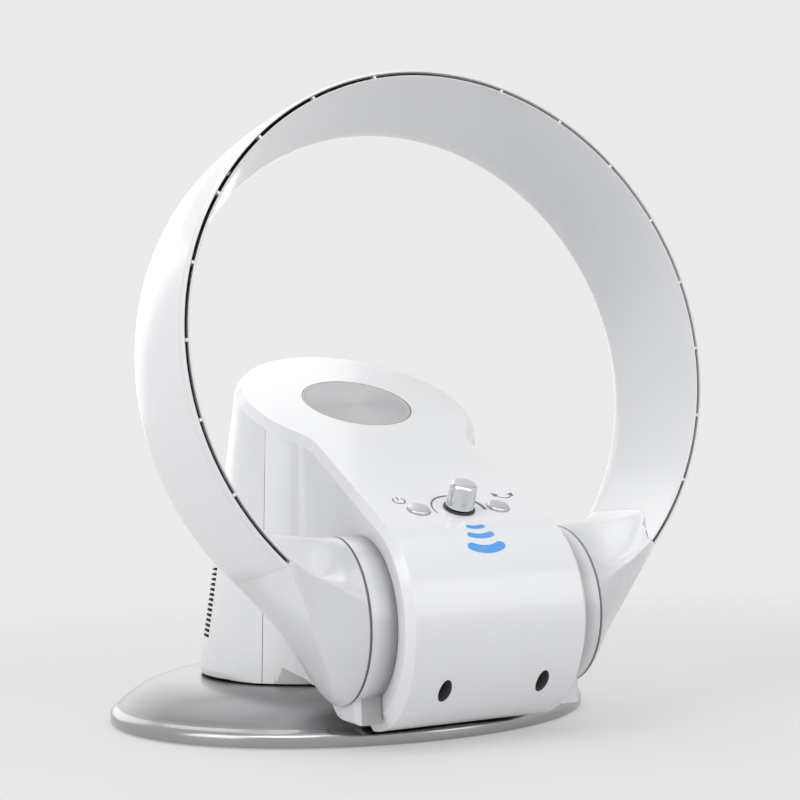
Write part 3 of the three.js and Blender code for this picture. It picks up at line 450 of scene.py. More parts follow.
def housingShell():
    wall = drum["wall"]
    inside = carved(columnForm(wall, -2, 251), ("DIFFERENCE", bellyCutter(wall)),
                    ("DIFFERENCE", sweptBase(wall, column["footRadius"] - column["floorAhead"])))
    return carved(columnForm(0, -1, 250), ("INTERSECT", sideShape(coverDepth + 0.05)),
                  ("DIFFERENCE", sweptBase()), ("DIFFERENCE", bellyCutter(0)), ("DIFFERENCE", inside))


def shadedWithin(form):
    # The inside of the housing and the edges of its slots are unlit, so they take the dark surface.
    for face in form.faces:
        middle = face.calc_center_median()
        radius, centreY = columnAt(middle.z)
        inside = hypot(middle.x, middle.y - centreY) < radius - drum["wall"] / 2
        slotted = grille["bottom"] < middle.z < grille["top"] and abs(face.normal.z) > 0.9
        face.material_index = 1 if slotted or inside else 0
    return form


def shadedBelly(form):
    # The recess under the neck lies in shadow, so it is greyer.
    for face in form.faces:
        middle = face.calc_center_median()
        radius, centreY = columnAt(middle.z)
        recessed = hypot(middle.x, middle.y - centreY) < radius - 0.03 or middle.y < belly["straightFrom"]
        along = belly["front"] < middle.y < belly["back"]
        low = middle.z < footZ + (middle.y - belly["front"]) * 0.66
        face.material_index = 1 if along and recessed and low else 0
    return form


def block(x0, x1, y0, y1, z0, z1):
    form = bmesh.new()
    bmesh.ops.create_cube(form, size=1)
    middle = shift((x0 + x1) / 2, (y0 + y1) / 2, (z0 + z1) / 2)
    return moved(form, Matrix.Diagonal((x1 - x0, y1 - y0, z1 - z0, 1)), middle)


def acrossX(form):
    return moved(form, turn(90, "Y"))


footRound = {"width": 2.2, "tall": 8, "steps": 8, "fadeOver": 30}


def roundedFoot():
    # Rounds the foot's outer edge at the sides and back, and fades out before the seam.
    sections = [(-5, footRound["width"])]
    for i in range(footRound["steps"] + 1):
        angle = pi / 2 * i / footRound["steps"]
        sections.append((footZ + footRound["tall"] * (1 - cos(angle)), footRound["width"] * (1 - sin(angle))))
    sections.append((260, 0))
    levels = []
    for z, inset in sections:
        radius, centreY = columnAt(z)
        points = []
        for x, y in keyhole(z, 0):
            share = inset * eased((y - column["seamY"]) / footRound["fadeOver"]) / radius
            points.append((mix(x, 0, share), mix(y, centreY, share), z))
        levels.append(points)
    return lofted(levels)


seamHalf, far = 0.15, 300
housing = housingShell()
rearHalf = block(-far, far, column["seamY"] + seamHalf, far, -far, far)
inletHole = moved(rod(inlet["radius"] + inlet["clearance"], -20, 20), turn(90, "X"),
                  shift(0, column["footRadius"], inlet["z"]))
rear = carved(housing.copy(), ("INTERSECT", rearHalf), ("DIFFERENCE", grilleCutters()),
              ("DIFFERENCE", inletHole), ("INTERSECT", roundedFoot()))
finishPiece(shadedWithin(rear), "rearHousing", "head", [whiteGloss, hollowShade],
            ["rear_housing"])

trunnionBore = moved(acrossX(rod(30, -100, 100, 96)), drumPlace)
frontHalf = block(-far, far, -far, column["seamY"] - seamHalf, -far, far)
underside = turned([(134, -10), (220, -10), (220, 15.6), (134, 15.6)], 120)
front = carved(housing, ("INTERSECT", frontHalf), ("DIFFERENCE", trunnionBore), ("DIFFERENCE", underside))
finishPiece(shadedBelly(front), "frontHousing", "head", [whiteGloss, bellyGrey],
            ["front_housing"])
print("column made")


def deckOutline(depth, inset):
    # Where the column's wall meets a plane parallel to the deck, in deck coordinates.
    low = keyhole(footZ, inset)
    high = keyhole(column["topZ"], inset)
    outline = []
    for (x0, y0), (x1, y1) in zip(low, high):
        rise = column["topZ"] - footZ - (y1 - y0) * tan(slope)
        t = (deckHeight(y0, depth) - footZ) / rise
        y = mix(y0, y1, t) - crease.y
        z = mix(footZ, column["topZ"], t) - crease.z
        outline.append((mix(x0, x1, t), y * cos(slope) + z * sin(slope), -depth))
    return outline


badge = {"up": 154, "radius": 33.5, "recess": 1.3}
knob = {"up": 13.3, "radius": 7.5, "height": 15, "collar": 8.6}
button = {"up": 13.4, "side": 23.6, "radius": 6, "stands": 1.5}


def deckCover():
    drop, run = drum["bevelDrop"], drum["bevelRun"]
    levels = [(coverDepth, 0), (drop + 0.25, 0), (drop - 0.1, 0.12), (0.18, run - 0.3), (0, run)]
    outside = lofted([deckOutline(depth, inset) for depth, inset in levels])
    insideLevels = [(coverDepth + 1, drum["wall"]), (drum["plate"], drum["wall"] + 1)]
    inside = lofted([deckOutline(depth, inset) for depth, inset in insideLevels])
    holes = [moved(rod(button["radius"] + gap, -10, 10), shift(side * button["side"], button["up"], 0))
             for side in (-1, 1)]
    holes.append(moved(rod(knob["radius"] + gap, -10, 10), shift(0, knob["up"], 0)))
    holes.append(moved(rod(badge["radius"] + gap, -badge["recess"], 10, 128), shift(0, badge["up"], 0)))
    beyond = block(-200, 200, -200, 0.02, -100, 100)
    return carved(outside, ("DIFFERENCE", inside), ("DIFFERENCE", beyond), ("DIFFERENCE", merged(*holes)))


finishPiece(deckCover(), "deckCover", "head", [whiteGloss], ["top_cover"], deckPlace, 12)


def badgeDisc():
    radius = badge["radius"]
    profile = [(0, -1.28), (radius, -1.28), (radius, -0.45), (radius - 0.25, -0.15), (radius - 0.8, -0.05),
               (radius - 1.6, -0.2), (radius - 2.2, -0.25), (0, -1.1)]
    return moved(turned(profile, 160), shift(0, badge["up"], 0))


badgeMiddle = (deckPlace @ Vector((0, badge["up"], 0))) * mm
badgeBrushed = brushedRound("badgeBrushed", (0.36, 0.363, 0.37), 0.3, badgeMiddle, slope)
finishPiece(badgeDisc(), "badgeDisc", "head", [badgeBrushed], ["badge_disc"], deckPlace)
print("deck made")


def drumBand():
    # Turned about Z and laid over, so that its width runs along X.
    rim, run, drop = drum["halfWidth"], drum["bevelRun"], drum["bevelDrop"]
    radius = drum["radius"]
    skirt = radius - coverDepth + 0.1
    half = [(skirt, rim), (radius - drop - 0.2, rim), (radius - drop + 0.12, rim - 0.1),
            (radius - 0.3, rim - run + 0.2), (radius, rim - run - 0.2)]
    inner = [(skirt, rim - drum["wall"]), (radius - drum["plate"], rim - drum["wall"] - 1)]
    profile = [(r, -z) for r, z in half] + [(r, z) for r, z in reversed(half)]
    profile += inner + [(r, -z) for r, z in reversed(inner)]
    first, last = degrees(slope) + 0.02, drum["lastAngle"]
    form = turned(profile, 200, last - first, first)
    # Laid over, so that angles count from the drum's top towards the front.
    return moved(form, turn(-90, "Y"), turn(180, "Z"))


well = {"side": 28.1, "angle": 128.4, "radius": 3.5, "tall": 2.0, "sleeve": 5, "sleeveTall": 1.8}


def wellRods(radius, tall, low, high):
    rods = []
    for side in (-1, 1):
        rods.append(moved(rod(radius, low, high), Matrix.Diagonal((1, tall, 1, 1)), turn(well["angle"], "X"),
                          shift(side * well["side"], tiltAt.y, tiltAt.z)))
    return merged(*rods)


def drumFront():
    radius = drum["radius"]
    band = moved(drumBand(), drumPlace)
    skirt = radius - coverDepth + 0.1
    for vert in band.verts:
        # The front runs a little lower than a circle, down to the base's rim.
        away = hypot(vert.co.y - tiltAt.y, vert.co.z - tiltAt.z)
        share = min(1, max(0, (away - skirt) / (radius - 1 - skirt)))
        vert.co.z -= drum["lip"] * share * eased((tiltAt.z - vert.co.z) / radius)
    form = carved(band, ("UNION", wellRods(well["sleeve"], well["sleeveTall"], 44, radius - 1)),
                  ("DIFFERENCE", wellRods(well["radius"], well["tall"], 40, 60)), ("DIFFERENCE", sweptBase()))
    # The bores of the wells take shadowGrey as painted shade.
    for face in form.faces:
        middle = face.calc_center_median() - tiltAt
        within = abs(abs(middle.x) - well["side"]) < well["radius"] + 0.1
        face.material_index = 1 if within and hypot(middle.y, middle.z) < radius - 0.4 else 0
    return form


finishPiece(drumFront(), "drumFront", "head", [whiteGloss, shadowGrey], ["front_cover"],
            floorPlace, 20)
print("drum made")


hub = {"radius": 42.8, "face": 66.4, "bore": 28.3, "seam": 0.85}
toe = {"front": -21.5, "back": 13, "drop": 8, "heel": 20, "corner": 3, "edge": 5}


def toeForm(x0, x1):
    # Flat in front, rounded behind, at its outer bottom edge and up its outer front edge.
    low, high = -hub["radius"] - toe["drop"], -hub["bore"] - 6
    heel, corner, edge = toe["heel"], toe["corner"], toe["edge"]
    side = [(toe["front"], high), (toe["front"], low)]
    side += arc(toe["back"] - heel, low + heel, heel, 270, 330, 16) + [(0, high)]
    across = [(x0, low)] + arc(x1 - corner, low + corner, corner, 270, 360, 12)
    across += [(x1, high + 1), (x0, high + 1)]
    plan = [(x0, toe["front"] - 1)] + arc(x1 - edge, toe["front"] + edge, edge, 270, 360, 10)
    plan += [(x1, 40), (x0, 40)]
    face = lofted([[(x, y, z) for x, z in across] for y in (-40, 60)])
    return carved(prism(side, x0, x1, "X"), ("INTERSECT", face), ("INTERSECT", prism(plan, -80, 0)))


def collarForm():
    # A straight band from the drum's side to the seam with the arm, with the toe below it.
    wallFace = drum["halfWidth"] + 0.05
    radius, face = hub["radius"], hub["face"]
    profile = [(hub["bore"], wallFace), (radius, wallFace), (radius, face - 0.55), (radius - 0.5, face),
               (hub["bore"], face)]
    bore = acrossX(rod(hub["bore"], 0, 100, 160))
    whole = carved(acrossX(turned(profile, 160)), ("UNION", toeForm(wallFace + 0.5, face - 0.3)),
                   ("DIFFERENCE", bore))
    form = carved(moved(whole, drumPlace), ("DIFFERENCE", sweptBase()))
    bmesh.ops.recalc_face_normals(form, faces=form.faces)
    # Painted shade: faces at the seam with the arm take shadowGrey, and the toe's front takes the third
    # surface, painted shade on the left collar and plain white on the right.
    for facet in form.faces:
        middle = facet.calc_center_median()
        away = hypot(middle.y - tiltAt.y, middle.z - tiltAt.z)
        atSeam = middle.x > face - 0.5 and abs(away - radius + 0.25) < 0.3 and facet.normal.x < 0.9
        toeFront = facet.normal.y < -0.9 and middle.z < tiltAt.z - radius + 8 and middle.y < tiltAt.y - 20
        facet.material_index = 1 if atSeam else 2 if toeFront else 0
    return form


def mirroredForm(form):
    copy = form.copy()
    bmesh.ops.scale(copy, vec=(-1, 1, 1), verts=copy.verts)
    bmesh.ops.reverse_faces(copy, faces=copy.faces)
    return copy


def whiteWithPaintedShade(name, start, end, dark, light):
    # White with painted shade that greys towards the drum, by distance from the middle of the fan.
    material, tree, shader = newMaterial(name, light, 0.26, coat=0.3)
    coordinates = tree.nodes.new("ShaderNodeTexCoord")
    mapping = tree.nodes.new("ShaderNodeMapping")
    split = tree.nodes.new("ShaderNodeSeparateXYZ")
    away = tree.nodes.new("ShaderNodeMath")
    away.operation = "ABSOLUTE"
    reach = tree.nodes.new("ShaderNodeMapRange")
    reach.inputs["From Min"].default_value = start
    reach.inputs["From Max"].default_value = end
    tree.links.new(coordinates.outputs["Object"], mapping.inputs["Vector"])
    tree.links.new(mapping.outputs["Vector"], split.inputs["Vector"])
    tree.links.new(split.outputs["X"], away.inputs[0])
    tree.links.new(away.outputs["Value"], reach.inputs["Value"])
    tree.links.new(tint(tree, reach.outputs["Result"], dark, light), shader.inputs["Base Color"])
    return material


rightCollar = collarForm()
leftCollar = mirroredForm(rightCollar)
# The collar's band greys towards the drum as painted shade, darkest at its root.
collarShadedWhite = whiteWithPaintedShade("collarShadedWhite", 0.0523, 0.0635, (0.22, 0.223, 0.23), (0.7, 0.705, 0.715))
finishPiece(rightCollar, "rightCollar", "head", [collarShadedWhite, shadowGrey, whiteSatin],
            ["right_collar"])
finishPiece(leftCollar, "leftCollar", "head", [collarShadedWhite, shadowGrey, toeShadeGrey],
            ["left_collar"])
print("collars made")


ring = {"radius": 150, "slit": 1.8, "depth": 74, "bulge": 7, "narrowing": 11, "wall": 2.2,
        "halfAngle": 134, "dashes": 18, "ends": 135.1, "steps": 216, "shoulder": 126.6}
noseRadius = (ring["bulge"] + ring["narrowing"]) / 2
noseOut = (ring["bulge"] - ring["narrowing"]) / 2
noseStart = ring["depth"] - noseRadius
lipEdge = ring["slit"] / 2
ringCentre = shift(0, -ringPose["reach"], ringPose["rise"])


def noseSpan(depth, inset):
    return sqrt(max(0, (noseRadius - inset) ** 2 - (depth - noseStart) ** 2))


def outerAt(depth, inset=0):
    if depth > noseStart:
        return noseOut + noseSpan(depth, inset)
    rise = sin(pi / 2 * min(1, depth / (0.8 * ring["depth"])))
    return mix(lipEdge + 1.1, ring["bulge"], rise) - inset


def innerAt(depth, inset=0):
    if depth > noseStart:
        return noseOut - noseSpan(depth, inset)
    rise = min(1, max(0, depth) / (0.82 * ring["depth"])) ** 0.92
    return -mix(lipEdge + 0.9, ring["narrowing"], rise) + inset


def wallLine(wallAt, inset, sideSteps=30, noseSteps=12):
    back = ring["depth"] - inset
    depths = [mix(1.2, noseStart, i / sideSteps) for i in range(sideSteps + 1)]
    depths += [noseStart + (back - noseStart) * sin(pi / 2 * i / noseSteps) for i in range(1, noseSteps)]
    return [(wallAt(depth, inset), depth) for depth in depths] + [(noseOut, back)]


def ringSection(wallAt, sign):
    # One shell's wall: the lip beside the slit, down the outside, and back inside.
    outside = wallLine(wallAt, 0)
    inside = wallLine(wallAt, ring["wall"])[1:]
    apart = sign * gap / 2
    outside[-1] = (outside[-1][0] + apart, outside[-1][1])
    inside[-1] = (inside[-1][0] + apart, inside[-1][1])
    if sign > 0:
        # A fine groove runs round the outside just behind the front edge.
        outside[1:1] = [(wallAt(4.2), 4.2), (wallAt(4.5) - 0.3, 4.5), (wallAt(4.8), 4.8)]
    lip = sign * lipEdge
    rounded = [(lip, 3.4), (lip, 0.3), (lip + sign * 0.3, 0.02), (lip + sign * 0.8, 0.25)]
    return rounded + outside + inside[::-1] + [(lip + sign * 0.4, 4.2)]


def shelfAt(depth):
    return eased(depth / 24) * eased((ring["depth"] - depth) / 9)


def endAt(depth):
    # The angle from the ring's top at which its inner wall turns into the arm.
    return mix(ring["ends"], ring["shoulder"], shelfAt(depth))


def followArms(form, fixed=112):
    for vert in form.verts:
        radius = hypot(vert.co.x, vert.co.y)
        away = (270 - degrees(atan2(vert.co.y, vert.co.x))) % 360 - 180
        if abs(away) > fixed:
            reached = fixed + (abs(away) - fixed) * (endAt(-vert.co.z) - fixed) / (ring["ends"] - fixed)
            angle = radians(90 - (reached if away > 0 else -reached))
            vert.co = Vector((radius * cos(angle), radius * sin(angle), vert.co.z))
    return form


def ringShell(wallAt, sign):
    profile = [(ring["radius"] + out, -depth) for out, depth in ringSection(wallAt, sign)]
    form = turned(profile, ring["steps"], 2 * ring["ends"], 90 - ring["ends"])
    if sign < 0:
        followArms(form)
    # Faces of the hollow inside, behind the slit, take hollowShade as painted shade.
    for face in form.faces:
        middle = face.calc_center_median()
        depth = -middle.z
        out = hypot(middle.x, middle.y) - ring["radius"]
        within = sign * (out - sign * lipEdge) > -0.4 and depth > 2
        atBack = depth > ring["depth"] - 0.5 and abs(out - noseOut) < 0.1
        buried = abs(out - wallAt(depth)) > 0.5 * ring["wall"] or atBack
        face.material_index = 1 if within and buried else 0
    return moved(form, turn(90, "X"), ringCentre)


def slitBridge(angle):
    rib = block(-0.75, 0.75, 0.35, 9, ring["radius"] - lipEdge - 1.2, ring["radius"] + lipEdge - 0.25)
    return moved(rib, turn(angle, "Y"), ringCentre)


outerShell = ringShell(outerAt, 1)
finishPiece(outerShell, "ringOuterShell", "air_ring", [whiteGloss, hollowShade],
            ["ring_outer_shell"], ringPlace)
pitch = 2 * ring["halfAngle"] / ring["dashes"]
bridgeAngles = [(k + 1 - ring["dashes"] / 2) * pitch for k in range(ring["dashes"] - 1)]
bridges = [slitBridge(angle) for angle in bridgeAngles if abs(angle) > 1]
innerShell = merged(ringShell(innerAt, -1), *bridges)
finishPiece(innerShell, "ringInnerShell", "air_ring", [whiteGloss, hollowShade],
            ["ring_inner_shell"], ringPlace)
print("ring made")


arm = {"startPull": 34, "endPull": 22, "back": 2, "crest": 166, "ridge": 262,
       "innerSteps": 44, "lipSteps": 24, "outerSteps": 36, "sections": 44, "dish": 7, "scoop": 11,
       "level": 0.45}


def armStations(inset=0):
    # Points round the ring's section with the hub angle that each runs to: 0 back, 90 up, 180 front.
    half = ring["depth"] / 2 - inset
    middle = ring["depth"] / 2
    stations = []
    for i in range(arm["innerSteps"]):
        s = i / arm["innerSteps"]
        depth = middle + half * cos(pi * s)
        hollow = sin(pi * max(0, (s - 0.56) / 0.44)) ** 2
        hubAngle = mix(arm["back"], arm["crest"], s)
        stations.append((innerAt(depth, inset), depth, hubAngle, shelfAt(depth), 0, hollow))
    for i in range(arm["lipSteps"] + 1):
        s = i / arm["lipSteps"]
        out = mix(-lipEdge - 0.9 + inset * 0.4, lipEdge + 1.1 - inset * 0.4, s)
        stations.append((out, 0.3 + inset, mix(arm["crest"], arm["ridge"], s), 0, sin(pi * s), 0))
    for i in range(arm["outerSteps"]):
        s = (i + 1) / (arm["outerSteps"] + 1)
        depth = middle - half * cos(pi * s)
        stations.append((outerAt(depth, inset), depth, mix(arm["ridge"], 360 + arm["back"], s), 0, 0, 0))
    return stations


def armSection(t, inset=0):
    h00, h10 = 2 * t ** 3 - 3 * t ** 2 + 1, t ** 3 - 2 * t ** 2 + t
    h01, h11 = 3 * t ** 2 - 2 * t ** 3, t ** 3 - t ** 2
    section = []
    for out, depth, hubAngle, shelf, front, hollow in armStations(inset):
        ends = radians(mix(ring["ends"], ring["shoulder"], shelf) + 0.03)
        radius = ring["radius"] + out
        across, down = sin(ends), cos(ends)
        start = Vector((radius * across, depth - ringPose["reach"], ringPose["rise"] + radius * down))
        edge = hub["radius"] - inset
        angle = radians(hubAngle)
        end = Vector((hub["face"] + hub["seam"], edge * cos(angle), edge * sin(angle)))
        along = Vector((down, 0, -across)).lerp(Vector((-1, 0, 0)), arm["level"] * shelf)
        point = h00 * start + h10 * along * arm["startPull"]
        point += h01 * end - h11 * Vector((arm["endPull"], 0, 0))
        middling = sin(pi * min(1, t)) ** 1.3
        point += Vector((0, arm["dish"] * front * middling, 0))
        point += Vector((0, 0.6, -0.8)) * arm["scoop"] * hollow * middling
        section.append(point)
    return section


def armForm():
    steps = arm["sections"]
    return lofted([armSection(i / steps) for i in range(steps + 1)])


# The arms grey towards the hub as painted shade.
armShadedWhite = whiteWithPaintedShade("armShadedWhite", 0.068, 0.1, (0.64, 0.645, 0.655), (0.83, 0.835, 0.845))
rightArm = armForm()
leftArm = mirroredForm(rightArm)
finishPiece(rightArm, "rightArm", "air_ring", [armShadedWhite], ["right_arm"], ringPlace)
finishPiece(leftArm, "leftArm", "air_ring", [armShadedWhite], ["left_arm"], ringPlace)
print("arms made")


def knobForm():
    radius, height = knob["radius"], knob["height"]
    stem, stemFoot, foot, crown = 3, -6.8, 1.7, 2.2
    profile = [(0, stemFoot), (stem, stemFoot), (stem, foot), (radius - 0.3, foot), (radius, foot + 0.3),
               (radius - 0.15, height - crown - 0.2)]
    profile += [(radius - 2.15 + 2 * cos(radians(a)), height - crown + crown * sin(radians(a)))
                for a in range(15, 91, 15)]
    profile += [(0, height + 0.05)]
    return moved(turned(profile, 96), shift(0, knob["up"], 0))


def knobBezel():
    radius, collar = knob["radius"], knob["collar"]
    inner, low, under, high = 4, -drum["plate"], 0.3, 0.9
    profile = [(inner, low), (radius, low), (radius, under), (collar - 0.1, under), (collar, under + 0.1),
               (collar - 0.1, high - 0.1), (collar - 0.3, high), (inner, high)]
    return moved(turned(profile, 96), shift(0, knob["up"], 0))


def buttonForm(side):
    radius, stands = button["radius"], button["stands"]
    under = -drum["plate"] - gap
    post, postFoot, flange, flangeFoot = 1.5, under - 2.6, radius + 1.3, under - 1.2
    profile = [(0, postFoot), (post, postFoot), (post, flangeFoot), (flange, flangeFoot), (flange, under),
               (radius, under), (radius, stands - 0.8), (radius - 0.15, stands - 0.4),
               (radius - 0.5, stands - 0.1), (radius - 1.1, stands), (radius * 0.5, stands + 0.15),
               (0, stands + 0.2)]
    return moved(turned(profile, 80), shift(side * button["side"], button["up"], 0))


finishPiece(knobForm(), "controlKnob", "knob", [knobMetal], ["control_knob"], deckPlace)
finishPiece(knobBezel(), "knobBezel", "head", [darkPlastic], ["knob_bezel"], deckPlace)
for name, side in (("left", -1), ("right", 1)):
    finishPiece(buttonForm(side), name + "Button", "button_" + name, [buttonSilver],
                [name + "_button"], deckPlace)
print("controls made")


ink = {"thickness": 0.06, "lift": 0.01}


def band(points, widths, low, high):
    # A strip of changing width along flat points, raised between two heights.
    left, right = [], []
    for i, (x, y) in enumerate(points):
        ahead = points[min(i + 1, len(points) - 1)]
        behind = points[max(i - 1, 0)]
        length = hypot(ahead[0] - behind[0], ahead[1] - behind[1])
        across = (-(ahead[1] - behind[1]) / length, (ahead[0] - behind[0]) / length)
        half = widths(i / (len(points) - 1)) / 2
        left.append((x + across[0] * half, y + across[1] * half))
        right.append((x - across[0] * half, y - across[1] * half))
    return prism(left + right[::-1], low, high)


def roundedBand(points, width, low, high):
    # Ends taper to a half circle.
    total = sum(hypot(b[0] - a[0], b[1] - a[1]) for a, b in zip(points, points[1:]))
    tip = width / 2 / total

    def widths(t):
        near = min(t, 1 - t) / tip
        return width * sqrt(max(0.02, 1 - (1 - min(1, near)) ** 2))
    return band(points, widths, low, high)


dial = {"radius": 14.8, "first": 194, "last": -8, "thin": 0.7, "thick": 2.2}
powerSign = {"x": -30, "up": 11.4, "radius": 3.3, "first": 125, "last": 415, "line": 0.8}
swingSign = {"x": 33.8, "up": 15.2, "radius": 5.2, "first": 205, "last": 335, "line": 0.8}


def deckMarks():
    low, high = ink["lift"], ink["lift"] + ink["thickness"]
    up = knob["up"]
    dialArc = band(arc(0, up, dial["radius"], dial["first"], dial["last"], 60),
                   lambda t: mix(dial["thin"], dial["thick"], t), low, high)
    # The sign for on and off: an open circle and a bar.
    x, y, line = powerSign["x"], up + powerSign["up"], powerSign["line"]
    circle = arc(x, y, powerSign["radius"], powerSign["first"], powerSign["last"], 36)
    power = roundedBand(circle, line, low, high)
    bar = roundedBand([(x, y + 0.2 + 0.5 * i) for i in range(9)], line, low, high)
    # The sign for swinging: an arc with a head at each end.
    x, y, line = swingSign["x"], up + swingSign["up"], swingSign["line"]
    sweep = arc(x, y, swingSign["radius"], swingSign["first"], swingSign["last"], 24)
    swing = band(sweep, lambda t: line, low, high)
    heads = [prism([(x + s * 6.6, y + 1), (x + s * 2.6, y - 1), (x + s * 5.9, y - 3.6)], low, high)
             for s in (-1, 1)]
    return merged(dialArc, power, bar, swing, *heads)


finishPiece(deckMarks(), "deckMarks", "head", [printGrey], (), deckPlace)


def waveBlue():
    material, tree, shader = newMaterial("waveBlue", (0.06, 0.32, 0.85), 0.35, coat=0.3)
    fade = objectPattern(tree, "ShaderNodeTexNoise", 60)
    shade = tint(tree, fade.outputs["Fac"], (0.05, 0.3, 0.84), (0.09, 0.42, 0.9))
    tree.links.new(shade, shader.inputs["Base Color"])
    return material


# Half width, sag, lowest point below the crease and thickness of each wave.
waves = ((5.2, 1.6, 8.3, 3.0), (7.6, 2.2, 15.7, 3.6), (10.4, 3.6, 25.4, 5.2))


def signalWaves():
    # Three nested arcs, laid out flat and then wrapped over the drum just below the crease.
    strips = []
    for half, sag, bottom, width in waves:
        radius = (half ** 2 + sag ** 2) / (2 * sag)
        reach = degrees(asin(half / radius))
        line = arc(0, radius - bottom + width / 2, radius, -90 - reach, -90 + reach, 30)
        strips.append(roundedBand(line, width, 0, ink["thickness"]))
    form = merged(*strips)
    longEdges = [edge for edge in form.edges if edge.calc_length() > 1.5]
    bmesh.ops.subdivide_edges(form, edges=longEdges, cuts=2, use_grid_fill=True)
    bmesh.ops.triangulate(form, faces=form.faces)
    for vert in form.verts:
        radius = drum["radius"] + ink["lift"] + vert.co.z
        angle = slope - vert.co.y / drum["radius"]
        vert.co = Vector((vert.co.x, -radius * sin(angle), radius * cos(angle)))
    return form


finishPiece(signalWaves(), "signalWaves", "head", [waveBlue()], (), drumPlace)
print("marks made")


finishes = {
    darkPlastic: ["base_plate", "foot_plate", "power_inlet", "impeller", "motor_end_cap", "remote_receiver",
                  "knob_potentiometer", "left_switch", "right_switch"],
    plainSteel: ["base_ballast", "base_screw_1", "base_screw_2", "base_screw_3", "swivel_motor",
                 "left_retainer", "right_retainer", "motor_can", "lower_bearing", "upper_bearing",
                 "motor_rotor", "motor_shaft", "front_screw_left", "front_screw_right"],
    naturalNylon: ["slide_ring", "swivel_gear", "swivel_pinion", "left_trunnion", "right_trunnion"],
    blackRubber: ["anti_slip_pad", "left_friction_washer", "right_friction_washer", "damper_ring"],
    # The duct pieces inside take a dark grey as painted shade, so that they read dark through the slots.
    ductShadeGrey: ["fan_duct", "diffuser", "air_hood"],
    windingCopper: ["motor_stator"],
    circuitGreen: ["control_board"],
}
for material, names in finishes.items():
    for name in names:
        node = frame["nodes"][name]
        node.data.materials.clear()
        node.data.materials.append(material)
print("frame pieces finished")


stage = {"paper": (0.78, 0.78, 0.785), "fadeFrom": 0.34, "fadeTo": 1.0, "seen": (0.83, 0.83, 0.833),
         "floorTone": (0.79, 0.79, 0.793), "toneShare": 0.55, "room": (0.97, 0.98, 1.0), "roomPower": 0.4}


def seenDirectly(tree):
    # 1 where the camera sees a surface, plainly, in a reflection or through glass.
    path = tree.nodes.new("ShaderNodeLightPath")
    value = path.outputs["Is Camera Ray"]
    for other in ("Is Glossy Ray", "Is Transmission Ray"):
        larger = tree.nodes.new("ShaderNodeMath")
        larger.operation = "MAXIMUM"
        tree.links.new(value, larger.inputs[0])
        tree.links.new(path.outputs[other], larger.inputs[1])
        value = larger.outputs["Value"]
    return value


def mixed(tree, share, first, second):
    blend = tree.nodes.new("ShaderNodeMixShader")
    tree.links.new(share, blend.inputs["Fac"])
    tree.links.new(first, blend.inputs[1])
    tree.links.new(second, blend.inputs[2])
    return blend.outputs[0]


def paleFloor():
    # Matt paper that fades out with distance from the fan, so that no horizon shows behind it.
    material = bpy.data.materials.new("paleFloor")
    material.use_nodes = True
    tree = material.node_tree
    tree.nodes.clear()
    output = tree.nodes.new("ShaderNodeOutputMaterial")
    paper = tree.nodes.new("ShaderNodeBsdfDiffuse")
    paper.inputs["Color"].default_value = (*stage["paper"], 1)
    tone = tree.nodes.new("ShaderNodeEmission")
    tone.inputs["Color"].default_value = (*stage["floorTone"], 1)
    half = tree.nodes.new("ShaderNodeMath")
    half.operation = "MULTIPLY"
    half.inputs[1].default_value = stage["toneShare"]
    tree.links.new(seenDirectly(tree), half.inputs[0])
    lit = mixed(tree, half.outputs["Value"], paper.outputs[0], tone.outputs[0])
    clear = tree.nodes.new("ShaderNodeBsdfTransparent")
    coordinates = tree.nodes.new("ShaderNodeTexCoord")
    mapping = tree.nodes.new("ShaderNodeMapping")
    distance = tree.nodes.new("ShaderNodeVectorMath")
    distance.operation = "LENGTH"
    fade = tree.nodes.new("ShaderNodeMapRange")
    fade.interpolation_type = "SMOOTHSTEP"
    fade.inputs["From Min"].default_value = stage["fadeFrom"]
    fade.inputs["From Max"].default_value = stage["fadeTo"]
    tree.links.new(coordinates.outputs["Object"], mapping.inputs["Vector"])
    tree.links.new(mapping.outputs["Vector"], distance.inputs[0])
    tree.links.new(distance.outputs["Value"], fade.inputs["Value"])
    tree.links.new(mixed(tree, fade.outputs["Result"], lit, clear.outputs[0]), output.inputs["Surface"])
    return material


floorForm = bmesh.new()
bmesh.ops.create_grid(floorForm, x_segments=1, y_segments=1, size=1.2)
floor = asObject(floorForm, "floor")
floor.data.materials.append(paleFloor())


def softRoom():
    # Seen directly or in a reflection the room is the pale background; otherwise it lights softly.
    world = bpy.data.worlds.new("softRoom")
    world.use_nodes = True
    tree = world.node_tree
    tree.nodes.clear()
    output = tree.nodes.new("ShaderNodeOutputWorld")
    light = tree.nodes.new("ShaderNodeBackground")
    light.inputs["Color"].default_value = (*stage["room"], 1)
    light.inputs["Strength"].default_value = stage["roomPower"]
    seen = tree.nodes.new("ShaderNodeBackground")
    seen.inputs["Color"].default_value = (*stage["seen"], 1)
    chosen = mixed(tree, seenDirectly(tree), light.outputs[0], seen.outputs[0])
    tree.links.new(chosen, output.inputs["Surface"])
    return world


bpy.context.scene.world = softRoom()


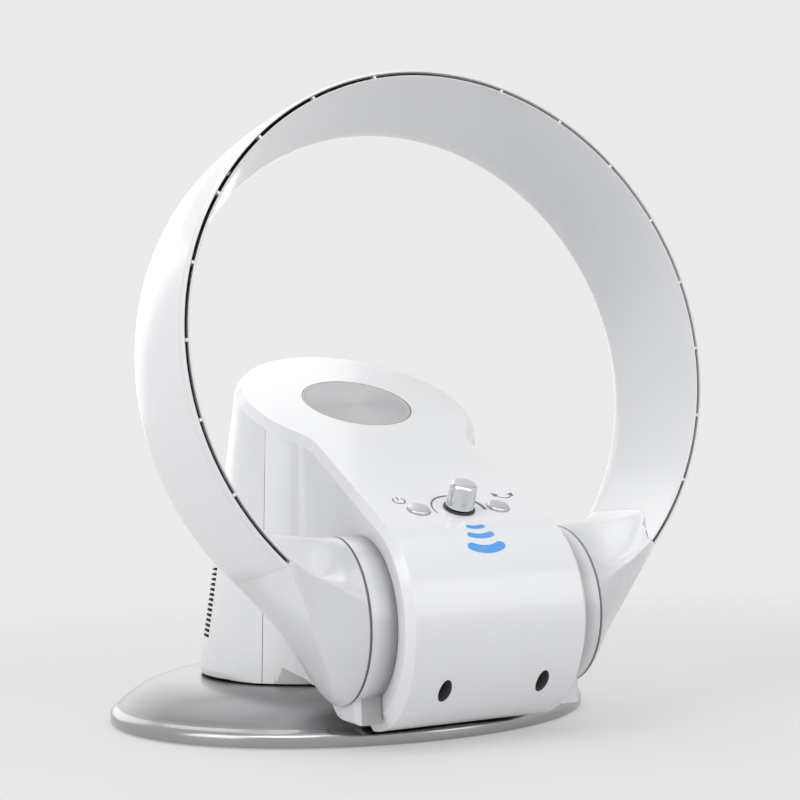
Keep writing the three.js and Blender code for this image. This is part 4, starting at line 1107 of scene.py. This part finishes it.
def softLamp(name, place, aim, size, power):
    lamp = bpy.data.lights.new(name, "AREA")
    lamp.shape = "RECTANGLE"
    lamp.size, lamp.size_y = size
    lamp.energy = power
    holder = bpy.data.objects.new(name, lamp)
    holder.location = place
    holder.rotation_euler = (Vector(aim) - Vector(place)).to_track_quat("-Z", "Y").to_euler()
    bpy.context.scene.collection.objects.link(holder)
    return holder


lamps = {
    "overhead": ((0.0, -0.1, 1.5), (0, -0.05, 0.15), (1.3, 1.0), 3.6),
    "overheadBack": ((0.0, 0.9, 1.3), (0, -0.05, 0.15), (1.3, 0.8), 3.5),
    "overheadFront": ((0.0, -1.1, 1.4), (0, -0.05, 0.15), (1.3, 0.8), 5.8),
    "left": ((-1.5, -0.1, 0.6), (0, -0.05, 0.15), (0.8, 1.1), 5.0),
    "leftHigh": ((-1.2, -0.8, 1.3), (0, -0.05, 0.2), (0.9, 0.9), 7.0),
    "frontRight": ((0.7, -1.5, 0.6), (0, -0.1, 0.15), (0.7, 0.9), 3.5),
    "behind": ((0.0, 1.4, 0.5), (0, 0, 0.15), (1.4, 0.8), 3.2),
}
for name, (at, aim, size, power) in lamps.items():
    softLamp(name, at, aim, size, power)

view = {"place": (-0.3576, -0.8144, 0.1329), "turn": -26.21, "lift": -3.59, "roll": -1.96, "focal": 1425.9,
        "frame": 800, "sensor": 36}
camera = bpy.data.cameras.new("photoView")
camera.sensor_width = view["sensor"]
camera.lens = view["focal"] / view["frame"] * view["sensor"]
cameraObject = bpy.data.objects.new("photoView", camera)
bpy.context.scene.collection.objects.link(cameraObject)
azimuth, lift, roll = radians(view["turn"]), radians(view["lift"]), radians(view["roll"])
back = Vector((sin(azimuth) * cos(lift), -cos(azimuth) * cos(lift), sin(lift)))
across = Vector((0, 0, 1)).cross(back).normalized()
upright = back.cross(across)
right = cos(roll) * across + sin(roll) * upright
top = -sin(roll) * across + cos(roll) * upright
facing = Matrix((right, top, back)).transposed().to_4x4()
cameraObject.matrix_world = Matrix.Translation(view["place"]) @ facing
bpy.context.scene.camera = cameraObject
bpy.context.scene.view_settings.view_transform = "Standard"
print("stage set")
